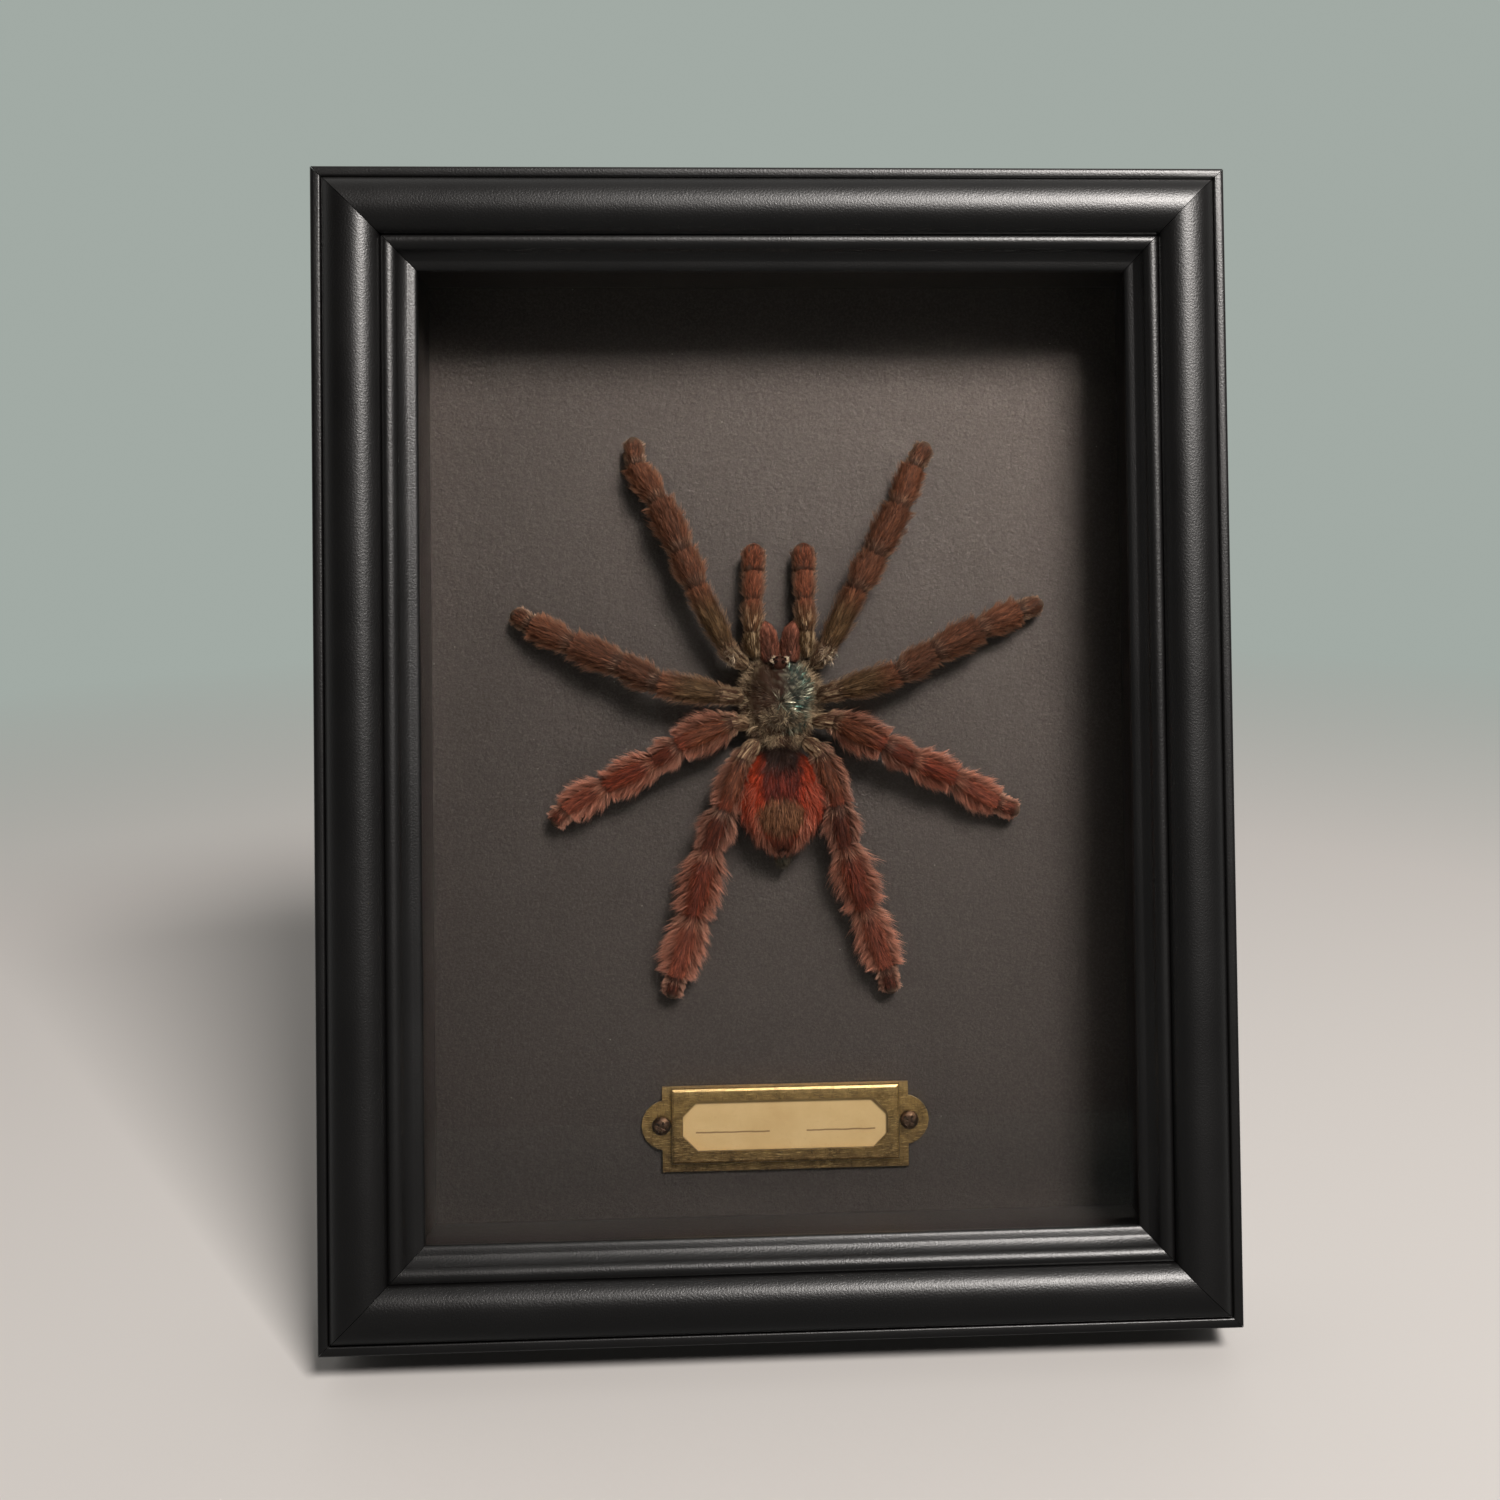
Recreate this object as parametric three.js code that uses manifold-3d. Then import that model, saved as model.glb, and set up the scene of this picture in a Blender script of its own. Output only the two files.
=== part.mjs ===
// A tarantula specimen in a deep, easel-backed shadow-box frame.
//
// Units are millimetres and +Z is up. The frame is drawn upright: X runs across it, Z up it
// from its lower outer edge, and Y goes back into it from the front outer edge of the moulding.
// Everything then leans back together about the lower back edge, onto the open strut, and the
// whole is set down with the centre of its footprint at the origin.

import * as THREE from "three";
import { mergeVertices } from "three/addons/utils/BufferGeometryUtils.js";
import Module from "manifold-3d";

const wasm = await Module();
wasm.setup();

// ---------------------------------------------------------------- driving dimensions

const WIDTH = 187; // frame, outside
const HEIGHT = 239.2; // frame, outside
const THICKNESS = 34.8; // from the front outer edge to the back of the rails
const LEAN = THREE.MathUtils.degToRad(13); // backward lean of the standing frame
const GAP = 0.3; // between pieces that touch
const MITRE_GAP = 0.08; // each rail stops this far short of its mitre plane

const FACE = 20.8; // width of the moulding, outer edge to sight edge
const LEG = 16.8; // width of the rail behind the glass
const LIP_BACK = 3.9; // depth of the back of the lip

const GLASS = 2;
const CARD_FRONT = 28; // depth of the face that the specimen is fixed to
const CARD = 2;
const PANEL = 3;
const LINING = 0.6; // card strips that line the box and hold the card off the glass

const WAIST_Z = 120.4; // height of the waist between carapace and abdomen
const LABEL_Z = 38;

const HINGE_Z = 176; // height of the strut's hinge
const STRUT_LENGTH = 175; // from the hinge axis to the foot
const STRUT_TOP = 36; // widths of the strut
const STRUT_FOOT = 62;
const STRUT_BOARD = 3;
const KNUCKLE = 1.9; // outer radius of the hinge's rolled knuckles
const LEAF = 0.8; // sheet thickness of the hinge

// ---------------------------------------------------------------- worked-out dimensions

const GLASS_FRONT = LIP_BACK + GAP;
const LINING_FRONT = GLASS_FRONT + GLASS + GAP;
const PANEL_FRONT = CARD_FRONT + CARD + GAP;
const PANEL_BACK = PANEL_FRONT + PANEL;
const OPENING_WIDTH = WIDTH - 2 * LEG; // inside the rebate
const OPENING_HEIGHT = HEIGHT - 2 * LEG;
const SHEET_WIDTH = OPENING_WIDTH - 0.8;
const SHEET_HEIGHT = OPENING_HEIGHT - 0.8;
const MIDDLE_Z = HEIGHT / 2;
const HINGE_Y = PANEL_BACK + GAP + KNUCKLE;

// Height of the hinge axis above the table, and the strut's own lean from the vertical.
const HINGE_ABOVE_TABLE = HINGE_Z * Math.cos(LEAN) - (HINGE_Y - THICKNESS) * Math.sin(LEAN);
const STRUT_LEAN = Math.acos(HINGE_ABOVE_TABLE / STRUT_LENGTH);

// ---------------------------------------------------------------- materials

function finish(color, roughness, metalness = 0, extra = {}) {
  return new THREE.MeshStandardMaterial({ color, roughness, metalness, ...extra });
}

const BLACK_PAINT = finish(0x17171a, 0.38);
const CLEAR_GLASS = finish(0xe8f0ee, 0.05, 0, { transparent: true, opacity: 0.12 });
const DARK_CARD = finish(0x3a3433, 0.95);
const FIBREBOARD = finish(0x6a4b32, 0.8);
const STEEL = finish(0xb4b6b8, 0.4, 1);
const AGED_BRASS = finish(0x8a6a2c, 0.45, 1);
const DARK_BRONZE = finish(0x3d2b1c, 0.5, 1);
const CREAM_CARD = finish(0xd9bd82, 0.9);
const TARANTULA_HAIR = finish(0x6b4436, 0.9);

// ---------------------------------------------------------------- solids and meshes

// A closed geometry as a manifold solid, for joining and cutting.
function solidOf(geometry) {
  const loose = geometry.index ? geometry.toNonIndexed() : geometry.clone();
  const bare = new THREE.BufferGeometry();
  bare.setAttribute("position", loose.getAttribute("position"));
  const merged = mergeVertices(bare, 1e-4);
  return new wasm.Manifold(
    new wasm.Mesh({
      numProp: 3,
      vertProperties: merged.attributes.position.array,
      triVerts: new Uint32Array(merged.index.array),
    }),
  );
}

function geometryOf(solid) {
  const mesh = solid.getMesh();
  const geometry = new THREE.BufferGeometry();
  geometry.setAttribute("position", new THREE.BufferAttribute(mesh.vertProperties, 3));
  geometry.setIndex(new THREE.BufferAttribute(mesh.triVerts, 1));
  geometry.computeVertexNormals();
  return geometry;
}

function joined(geometries) {
  return geometryOf(geometries.map(solidOf).reduce((sum, next) => sum.add(next)));
}

function cut(geometry, cutters) {
  return geometryOf(cutters.map(solidOf).reduce((rest, next) => rest.subtract(next), solidOf(geometry)));
}

function common(first, second) {
  return geometryOf(solidOf(first).intersect(solidOf(second)));
}

function named(name, geometry, material) {
  const mesh = new THREE.Mesh(geometry, material);
  mesh.name = name;
  return mesh;
}

// A box between two corners.
function boxBetween(low, high) {
  const size = high.map((value, i) => value - low[i]);
  const box = new THREE.BoxGeometry(...size);
  return box.translate(...low.map((value, i) => value + size[i] / 2));
}

// A flat sheet in the frame, centred on x and z, from one depth to another.
function sheet(width, height, front, thickness, x = 0, z = MIDDLE_Z) {
  return boxBetween(
    [x - width / 2, front, z - height / 2],
    [x + width / 2, front + thickness, z + height / 2],
  );
}

// An outline in X and Z, extruded from one depth back to another.
function plate(outline, front, thickness) {
  const slab = new THREE.ExtrudeGeometry(outline, {
    depth: thickness,
    bevelEnabled: false,
    curveSegments: 10,
  });
  return slab.rotateX(Math.PI / 2).translate(0, front + thickness, 0);
}

// A profile of [radius, height] pairs turned about the Y axis, its heights pointing to the viewer.
function turned(profile, sides = 16) {
  const points = profile.map(([radius, height]) => new THREE.Vector2(radius, height));
  return new THREE.LatheGeometry(points, sides).rotateX(Math.PI);
}

// A rod along X.
function rod(radius, from, to, sides = 16) {
  const cylinder = new THREE.CylinderGeometry(radius, radius, to - from, sides);
  return cylinder.rotateZ(Math.PI / 2).translate((from + to) / 2, 0, 0);
}

// ---------------------------------------------------------------- frame

// The moulding's section: depth across the page, distance from the outer edge up it.
function railSection() {
  const section = new THREE.Shape();
  section.moveTo(THICKNESS, 0);
  section.lineTo(0.9, 0);
  section.quadraticCurveTo(0, 0, 0, 0.9); // eased outer edge
  section.lineTo(0, 2.1);
  section.lineTo(0.6, 2.3); // quirk
  section.bezierCurveTo(-1.9, 2.6, -3.5, 4.9, -3.5, 7.9); // main round, rising to its crest
  section.bezierCurveTo(-3.5, 10.5, -2.3, 12.7, -1, 13.8);
  section.lineTo(0.1, 14.2); // step
  section.bezierCurveTo(-0.6, 14.7, -0.6, 16.4, 0.3, 17); // small bead
  section.quadraticCurveTo(1.7, 17.4, 1.8, 19.2); // inner cove
  section.bezierCurveTo(1.6, 19.8, 1.8, FACE, 2.6, FACE); // rolled lip
  section.lineTo(LIP_BACK, FACE);
  section.lineTo(LIP_BACK, LEG); // rebate
  section.lineTo(THICKNESS, LEG);
  return section;
}

// One rail along X, centred, its outer edge at the given distance below the frame's centre.
function railGeometry(length, distance) {
  const bar = new THREE.ExtrudeGeometry(railSection(), {
    depth: 1,
    bevelEnabled: false,
    curveSegments: 7,
  });
  const points = bar.getAttribute("position");
  for (let i = 0; i < points.count; i += 1) {
    const depth = points.getX(i);
    const inward = points.getY(i);
    const end = points.getZ(i) - 0.5; // -0.5 or 0.5
    const reach = length - 2 * (inward + MITRE_GAP);
    points.setXYZ(i, end * reach, depth, inward - distance);
  }
  return bar;
}

function frameRails() {
  const rails = [
    ["rail_bottom", WIDTH, HEIGHT / 2, 0],
    ["rail_top", WIDTH, HEIGHT / 2, Math.PI],
    ["rail_left", HEIGHT, WIDTH / 2, Math.PI / 2],
    ["rail_right", HEIGHT, WIDTH / 2, -Math.PI / 2],
  ];
  return rails.map(([name, length, distance, turn]) => {
    const rail = named(name, railGeometry(length, distance), BLACK_PAINT);
    rail.rotation.y = turn;
    rail.position.z = MIDDLE_Z;
    return rail;
  });
}

// Strips between the glass and the card, which are also the box's inner walls.
function spacers() {
  const depth = CARD_FRONT - GAP - LINING_FRONT;
  const across = (SHEET_WIDTH - LINING) / 2;
  const up = (SHEET_HEIGHT - LINING) / 2;
  const between = SHEET_HEIGHT - 2 * LINING - 2 * GAP;
  const strips = [
    ["spacer_top", sheet(SHEET_WIDTH, LINING, LINING_FRONT, depth, 0, MIDDLE_Z + up)],
    ["spacer_bottom", sheet(SHEET_WIDTH, LINING, LINING_FRONT, depth, 0, MIDDLE_Z - up)],
    ["spacer_left", sheet(LINING, between, LINING_FRONT, depth, -across)],
    ["spacer_right", sheet(LINING, between, LINING_FRONT, depth, across)],
  ];
  return strips.map(([name, strip]) => named(name, strip, DARK_CARD));
}

// Flat sheets that fill the rebate.
function glazingAndBacks() {
  return [
    named("glass_pane", sheet(SHEET_WIDTH, SHEET_HEIGHT, GLASS_FRONT, GLASS), CLEAR_GLASS),
    named("backing_card", sheet(SHEET_WIDTH, SHEET_HEIGHT, CARD_FRONT, CARD), DARK_CARD),
    named("back_panel", sheet(SHEET_WIDTH, SHEET_HEIGHT, PANEL_FRONT, PANEL), FIBREBOARD),
  ];
}

// Thin steel points that stand out of the rebate and hold the back panel in.
function retainingPoints() {
  const length = 8;
  const breadth = 10;
  const thickness = 0.6;
  const front = PANEL_BACK + GAP;
  const sideX = (OPENING_WIDTH - length) / 2 - GAP;
  const endZ = (OPENING_HEIGHT - length) / 2 - GAP;
  const places = [];
  for (const side of [-1, 1]) {
    for (const z of [52, 187]) {
      places.push(sheet(length, breadth, front, thickness, side * sideX, z));
    }
    places.push(sheet(breadth, length, front, thickness, side * 50, MIDDLE_Z + endZ));
    places.push(sheet(breadth, length, front, thickness, side * 50, MIDDLE_Z - endZ));
  }
  return places.map((point, i) => named(`retaining_point_${i + 1}`, point, STEEL));
}

// ---------------------------------------------------------------- label

const LABEL_PLATE = [53.6, 18.4]; // width and height of the base plate
const LABEL_PLATE_DROP = 0.9; // the plate's middle is this far below the bezel's
const BEZEL = [49.6, 16.4];
const WINDOW = [44.5, 10.8];
const WINDOW_CORNER = 3.2;
const EAR_RADIUS = 5.4;
const EAR_X = 25.9;
const SCREW_X = 27;
const PLATE_THICKNESS = 0.8;
const BEZEL_THICKNESS = 1.9;
const LABEL_FRONT = CARD_FRONT - GAP - PLATE_THICKNESS;

function rectangle(width, height, z = 0, corner = 0) {
  const shape = new THREE.Shape();
  const [right, top] = [width / 2, height / 2];
  const corners = [
    [-right + corner, -top],
    [right - corner, -top],
    [right, -top + corner],
    [right, top - corner],
    [right - corner, top],
    [-right + corner, top],
    [-right, top - corner],
    [-right, -top + corner],
  ];
  const wanted = corner > 0 ? corners : corners.filter((_, i) => [0, 1, 4, 5].includes(i));
  shape.setFromPoints(wanted.map(([x, y]) => new THREE.Vector2(x, y + z)));
  return shape;
}

function disc(radius, x, z) {
  return new THREE.Shape().absarc(x, z, radius, 0, 2 * Math.PI);
}

// Base plate with two round ears, and a bezel on it with a slot behind for the card.
function labelHolder() {
  const base = joined([
    plate(rectangle(...LABEL_PLATE, -LABEL_PLATE_DROP), LABEL_FRONT, PLATE_THICKNESS),
    plate(disc(EAR_RADIUS, -EAR_X, 0), LABEL_FRONT, PLATE_THICKNESS),
    plate(disc(EAR_RADIUS, EAR_X, 0), LABEL_FRONT, PLATE_THICKNESS),
  ]);
  const bezelFront = LABEL_FRONT - BEZEL_THICKNESS;
  const bezel = new THREE.ExtrudeGeometry(rectangle(...BEZEL), {
    depth: BEZEL_THICKNESS - 0.8,
    bevelThickness: 0.8,
    bevelSize: 0.7,
    bevelOffset: -0.7,
    bevelSegments: 2,
  });
  bezel.rotateX(Math.PI / 2).translate(0, LABEL_FRONT + 0.1, 0);
  const slot = plate(rectangle(46.8, 13), LABEL_FRONT - 1, 1);
  const window = plate(rectangle(...WINDOW, 0, WINDOW_CORNER), bezelFront - 1, BEZEL_THICKNESS);
  const holes = [-SCREW_X, SCREW_X].map((x) => plate(disc(1.4, x, 0), LABEL_FRONT - 1, 3));
  const behind = plate(rectangle(80, 40), LABEL_FRONT + PLATE_THICKNESS, 5);
  return cut(joined([base, bezel]), [slot, window, behind, ...holes]);
}

// A cross-head screw whose shank fills the plate's hole.
function labelScrew() {
  const screw = turned([
    [0, -PLATE_THICKNESS],
    [1, -PLATE_THICKNESS],
    [1, GAP],
    [2.1, GAP],
    [2, 0.8],
    [1.3, 1.4],
    [0, 1.6],
  ], 12);
  const slots = [0, Math.PI / 2].map((turn) =>
    boxBetween([-1.2, -2, -0.22], [1.2, -1, 0.22]).rotateY(turn + 0.5),
  );
  return cut(screw, slots);
}

function label() {
  const group = new THREE.Group();
  group.position.z = LABEL_Z;
  group.add(named("label_holder", labelHolder(), AGED_BRASS));
  group.add(named("label_card", plate(rectangle(46, 12.2), LABEL_FRONT - 0.7, 0.4), CREAM_CARD));
  for (const [name, x] of [["label_screw_left", -SCREW_X], ["label_screw_right", SCREW_X]]) {
    const screw = named(name, labelScrew(), DARK_BRONZE);
    screw.position.set(x, LABEL_FRONT, 0);
    group.add(screw);
  }
  return group;
}

// ---------------------------------------------------------------- tarantula

// Joints of each leg as [x, z] from the waist, first to fourth pair, from the body out:
// hip, then the ends of its trochanter, femur, patella, tibia, metatarsus and tarsus.
const LEFT_LEGS = [
  [[-7, 17], [-11, 20.5], [-17.5, 34], [-20.5, 41.5], [-25.5, 52.5], [-30.5, 60.5], [-31.5, 67.5]],
  [[-8, 10.5], [-12, 11], [-25.5, 13.5], [-33.5, 17.5], [-44, 22], [-53, 26.5], [-58, 29.5]],
  [[-7, 4.5], [-10.5, 5], [-21.5, 0.5], [-26.5, -3], [-37, -8], [-46, -13], [-49.5, -16.5]],
  [[-5, 1], [-8, -2.5], [-12, -13], [-15.5, -21.5], [-19, -35.5], [-23, -49], [-24.5, -54.5]],
];
const RIGHT_LEGS = [
  [[7, 17], [10, 20.5], [16.5, 33], [20.5, 40.5], [26, 51], [29.5, 60], [33, 66]],
  [[8, 10.5], [12, 11.5], [25, 15], [33, 19.5], [43, 24.5], [52, 28.5], [58, 30.5]],
  [[7, 5], [11.5, 5], [22, 0], [28, -3.5], [37, -7.5], [46.5, -13], [52, -15.5]],
  [[5, 1], [8.5, -2], [12, -12.5], [13.5, -21.5], [17.5, -34.5], [22, -48], [23.5, -54.5]],
];
const LEG_HEIGHTS = [5.5, 7, 8.5, 7.6, 6.3, 4.6, 3.2]; // of those joints above the card
// Radii over the hair, trochanter to tarsus, of the first to the fourth pair.
const LEG_RADII = [
  [2.6, 2.9, 3.4, 3.7, 3, 2.6],
  [2.6, 3.1, 3.3, 3.5, 3.1, 2.6],
  [2.8, 3.8, 3, 3.5, 3.4, 2.6],
  [3, 3.3, 3.6, 4.7, 4.2, 2.6],
];

// Palps and chelicerae, their joints [x, z, height above the card].
const PALPS = [-1, 1].map((side) => [
  [side * 5.5, 19, 6],
  [side * 5.9, 24, 7],
  [side * 5.6, 31, 6.5],
  [side * 5.5, 37.5, 5],
  [side * 5.4, 44, 3.8],
]);
const PALP_RADII = [2.2, 2.4, 2.6, 3];

const CHELICERAE = [-1, 1].map((side) => [[side * 1.8, 18, 6.5], [side * 3.5, 27, 5.5]]);
const CHELICERA_RADIUS = 2.8;

function at([x, z, height]) {
  return new THREE.Vector3(x, CARD_FRONT - height, z);
}

// A barrel from one joint to the next. It starts a little early, and ends as far past the second
// joint as it is told, so that neighbours meet.
function barrel(from, to, radius, past) {
  const axis = at(to).sub(at(from));
  const overlap = 0.35 * radius;
  const length = axis.length() + overlap + past;
  const profile = [[0, 0], [0.7, 0.04], [0.9, 0.3], [1, 0.66], [0.78, 0.95], [0, 1]];
  const points = profile.map(([r, t]) => new THREE.Vector2(r * radius, t * length));
  const solid = new THREE.LatheGeometry(points, 7).translate(0, -overlap, 0);
  const turn = new THREE.Quaternion().setFromUnitVectors(
    new THREE.Vector3(0, 1, 0),
    axis.normalize(),
  );
  return solid.applyQuaternion(turn).translate(...at(from).toArray());
}

// Barrels along a chain of joints, each [x, z, height above the card].
function limb(joints, radii) {
  const last = radii.length - 1;
  return radii.map((radius, i) =>
    barrel(joints[i], joints[i + 1], radius, i < last ? 0.35 * radius : 0),
  );
}

// An ellipsoid with its half sizes across, up and out of the card.
function ovoid([x, z, height], [across, up, out], sides = 14) {
  const ball = new THREE.SphereGeometry(1, sides, Math.round(0.7 * sides));
  return ball.scale(across, out, up).translate(x, CARD_FRONT - height, z);
}

function legs(side) {
  return side.flatMap((joints, pair) => {
    const raised = joints.map(([x, z], i) => [x, z, LEG_HEIGHTS[i]]);
    return limb(raised, LEG_RADII[pair]);
  });
}

function tarantula() {
  const body = [
    ovoid([0, 10.5, 5.2], [8.4, 10.6, 4.6], 16), // carapace
    ovoid([0, 0, 5.5], [3.2, 3, 3.6], 10), // waist
    ovoid([0, -11, 6.8], [9.2, 12.2, 6.4], 18), // abdomen
    ovoid([0, -23, 5], [3.4, 5, 3.2], 10), // tail tuft and spinnerets
    ovoid([0, 17.8, 9.4], [1.9, 1.6, 1.2], 8), // eye tubercle
  ];
  const limbs = [
    ...legs(LEFT_LEGS),
    ...legs(RIGHT_LEGS),
    ...PALPS.flatMap((palp) => limb(palp, PALP_RADII)),
    ...CHELICERAE.flatMap((fang) => limb(fang, [CHELICERA_RADIUS])),
  ];
  const specimen = named("tarantula", joined([...body, ...limbs]), TARANTULA_HAIR);
  specimen.position.z = WAIST_Z;
  return specimen;
}

// ---------------------------------------------------------------- easel strut

// Half a hinge: a leaf and the knuckles that it rolls into, about an axis along X at the origin.
// The leaf stands up from the axis or hangs down from it.
function hingeLeaf(width, reach, upward, knuckles) {
  const far = upward ? reach : -reach;
  const near = upward ? KNUCKLE + 0.5 : -KNUCKLE - 0.5;
  const [low, high] = [Math.min(far, near), Math.max(far, near)];
  const leaf = boxBetween([-width / 2, -KNUCKLE, low], [width / 2, -KNUCKLE + LEAF, high]);
  const webs = knuckles.map(([from, to]) =>
    boxBetween([from, -KNUCKLE, Math.min(0, near)], [to, -KNUCKLE + LEAF, Math.max(0, near)]),
  );
  const rolls = knuckles.map(([from, to]) => rod(KNUCKLE, from, to));
  const bore = rod(1.2, -width, width);
  return cut(joined([leaf, ...webs, ...rolls]), [bore]);
}

// A domed fastener head with a short shank, its axis along Y.
function fastener(headRadius) {
  return turned([
    [0, -LEAF],
    [0.8, -LEAF],
    [0.8, 0.1],
    [headRadius, 0.1],
    [headRadius * 0.9, 0.6],
    [headRadius * 0.5, 1],
    [0, 1.1],
  ], 8).rotateX(Math.PI);
}

function panelHinge() {
  const outer = [[-15, -8.3], [8.3, 15]];
  const screwHoles = [-9, 9].map((x) => rodAlongY(1.2, x, 9));
  const group = new THREE.Group();
  group.position.set(0, HINGE_Y, HINGE_Z);
  group.add(named("hinge_leaf_panel", cut(hingeLeaf(30, 14, true, outer), screwHoles), STEEL));
  group.add(named("hinge_pin", rod(0.9, -15.5, 15.5, 12), STEEL));
  for (const [name, x] of [["hinge_screw_left", -9], ["hinge_screw_right", 9]]) {
    const screw = named(name, fastener(2.2), STEEL);
    screw.position.set(x, LEAF - KNUCKLE + 0.2, 9);
    group.add(screw);
  }
  return group;
}

function rodAlongY(radius, x, z) {
  return rod(radius, -8, 8, 12).rotateZ(Math.PI / 2).translate(x, 0, z);
}

// The board, cut square across its top and level with the table at its foot.
function strutBoard() {
  const front = LEAF - KNUCKLE + GAP;
  const back = front + STRUT_BOARD;
  const top = -KNUCKLE - 0.6;
  const footAt = (y) => -(HINGE_ABOVE_TABLE + y * Math.sin(STRUT_LEAN)) / Math.cos(STRUT_LEAN);
  const side = new THREE.Shape();
  side.setFromPoints([
    new THREE.Vector2(front, top),
    new THREE.Vector2(front, footAt(front)),
    new THREE.Vector2(back, footAt(back)),
    new THREE.Vector2(back, top),
  ]);
  const outline = new THREE.Shape();
  outline.setFromPoints([
    new THREE.Vector2(-STRUT_TOP / 2, 0),
    new THREE.Vector2(-STRUT_FOOT / 2, -STRUT_LENGTH - 5),
    new THREE.Vector2(STRUT_FOOT / 2, -STRUT_LENGTH - 5),
    new THREE.Vector2(STRUT_TOP / 2, 0),
  ]);
  const slab = new THREE.ExtrudeGeometry(side, { depth: 80, bevelEnabled: false });
  const alongX = new THREE.Matrix4().makeBasis(
    new THREE.Vector3(0, 1, 0),
    new THREE.Vector3(0, 0, 1),
    new THREE.Vector3(1, 0, 0),
  );
  slab.applyMatrix4(alongX).translate(-40, 0, 0);
  const board = common(slab, plate(outline, -10, 20));
  return cut(board, [-6, 6].map((x) => rodAlongY(1.2, x, -13)));
}

function strut() {
  const group = new THREE.Group();
  group.position.set(0, HINGE_Y, HINGE_Z);
  group.rotation.x = LEAN + STRUT_LEAN;
  const leaf = cut(
    hingeLeaf(24, 20, false, [[-8, 8]]),
    [-6, 6].map((x) => rodAlongY(1.2, x, -13)),
  );
  group.add(named("hinge_leaf_strut", leaf, STEEL));
  group.add(named("easel_strut", strutBoard(), FIBREBOARD));
  for (const [name, x] of [["strut_rivet_left", -6], ["strut_rivet_right", 6]]) {
    const rivet = named(name, fastener(2.4), STEEL);
    rivet.position.set(x, LEAF - KNUCKLE + GAP + STRUT_BOARD + 0.2, -13);
    group.add(rivet);
  }
  return group;
}

// ---------------------------------------------------------------- assembly

function upright() {
  const group = new THREE.Group();
  group.add(...frameRails(), ...glazingAndBacks(), ...spacers(), ...retainingPoints());
  group.add(label(), tarantula(), panelHinge(), strut());
  return group;
}

// Leans the upright frame back about its lower back edge, which stays on the table.
function leaning() {
  const frame = upright();
  frame.position.y = -THICKNESS;
  const tilt = new THREE.Group();
  tilt.rotation.x = -LEAN;
  tilt.add(frame);
  return tilt;
}

const root = new THREE.Group();
const standing = leaning();
root.add(standing);
root.updateMatrixWorld(true);
const extent = new THREE.Box3().setFromObject(root, true);
standing.position.set(
  -(extent.min.x + extent.max.x) / 2,
  -(extent.min.y + extent.max.y) / 2,
  -extent.min.z,
);

export default root;
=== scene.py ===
import math

import bmesh
import bpy
import numpy as np
from mathutils import Matrix, Vector


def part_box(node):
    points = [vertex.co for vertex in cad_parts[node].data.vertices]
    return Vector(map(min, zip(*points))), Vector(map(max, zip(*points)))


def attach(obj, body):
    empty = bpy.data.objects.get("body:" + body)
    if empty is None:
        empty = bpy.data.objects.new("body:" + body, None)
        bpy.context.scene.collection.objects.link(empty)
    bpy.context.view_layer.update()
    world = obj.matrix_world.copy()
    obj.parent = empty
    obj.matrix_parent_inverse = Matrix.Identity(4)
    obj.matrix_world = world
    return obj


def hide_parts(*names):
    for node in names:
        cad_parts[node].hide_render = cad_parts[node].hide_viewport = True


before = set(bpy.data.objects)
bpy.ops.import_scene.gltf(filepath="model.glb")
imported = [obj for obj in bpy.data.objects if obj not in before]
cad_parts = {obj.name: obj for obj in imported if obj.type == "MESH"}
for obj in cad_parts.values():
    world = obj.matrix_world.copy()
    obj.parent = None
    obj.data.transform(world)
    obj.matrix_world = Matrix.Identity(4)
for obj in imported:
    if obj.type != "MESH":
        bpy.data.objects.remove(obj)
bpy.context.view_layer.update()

# ---------------------------------------------------------------- the frame's own coordinates

# The frame is drawn upright in millimetres: X across, Y back from the moulding's front outer
# edge, Z up from its lower outer edge. UPRIGHT leans it back and sets it on the table.
WIDTH, HEIGHT, THICKNESS = 187, 239.2, 34.8
LEAN = math.radians(13)
WALL = 16.8  # from a rail's outer edge to its rebate
FACE = 20.8  # from a rail's outer edge to its sight edge
LIP_BACK = 3.9  # depth of the lip's back, which holds the glass
CARD_FRONT = 28  # depth of the card's face
MITRE_GAP = 0.08
MIDDLE_Z = HEIGHT / 2
WAIST_Z = 120.4
LABEL_Z = 38

SET_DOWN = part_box("rail_bottom")[1].y - 0.001 * WALL * math.sin(LEAN)
UPRIGHT = (
    Matrix.Translation((0, SET_DOWN, 0))
    @ Matrix.Rotation(-LEAN, 4, "X")
    @ Matrix.Scale(0.001, 4)
    @ Matrix.Translation((0, -THICKNESS, 0))
)

# ---------------------------------------------------------------- camera

CAMERA_PLACE = Vector((3.655, -336.277, 125.585))  # upright millimetres

camera = bpy.data.objects.new("camera", bpy.data.cameras.new("camera"))
bpy.context.scene.collection.objects.link(camera)
camera.data.lens = 39.6
camera.data.sensor_width = 36
camera.data.shift_x = -0.0866
camera.data.shift_y = -0.0421
camera.data.clip_start = 0.01
right = Vector((0.9986627, -0.049873, -0.0136233))
up = Vector((0.0126041, -0.0206941, 0.9997064))
back = -Vector((0.0501403, 0.9985412, 0.0200378))
axes = Matrix.Rotation(-LEAN, 3, "X") @ Matrix((right, up, back)).transposed()
camera.matrix_world = Matrix.Translation(UPRIGHT @ CAMERA_PLACE) @ axes.to_4x4()
bpy.context.scene.camera = camera

# ---------------------------------------------------------------- shader helpers


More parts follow.
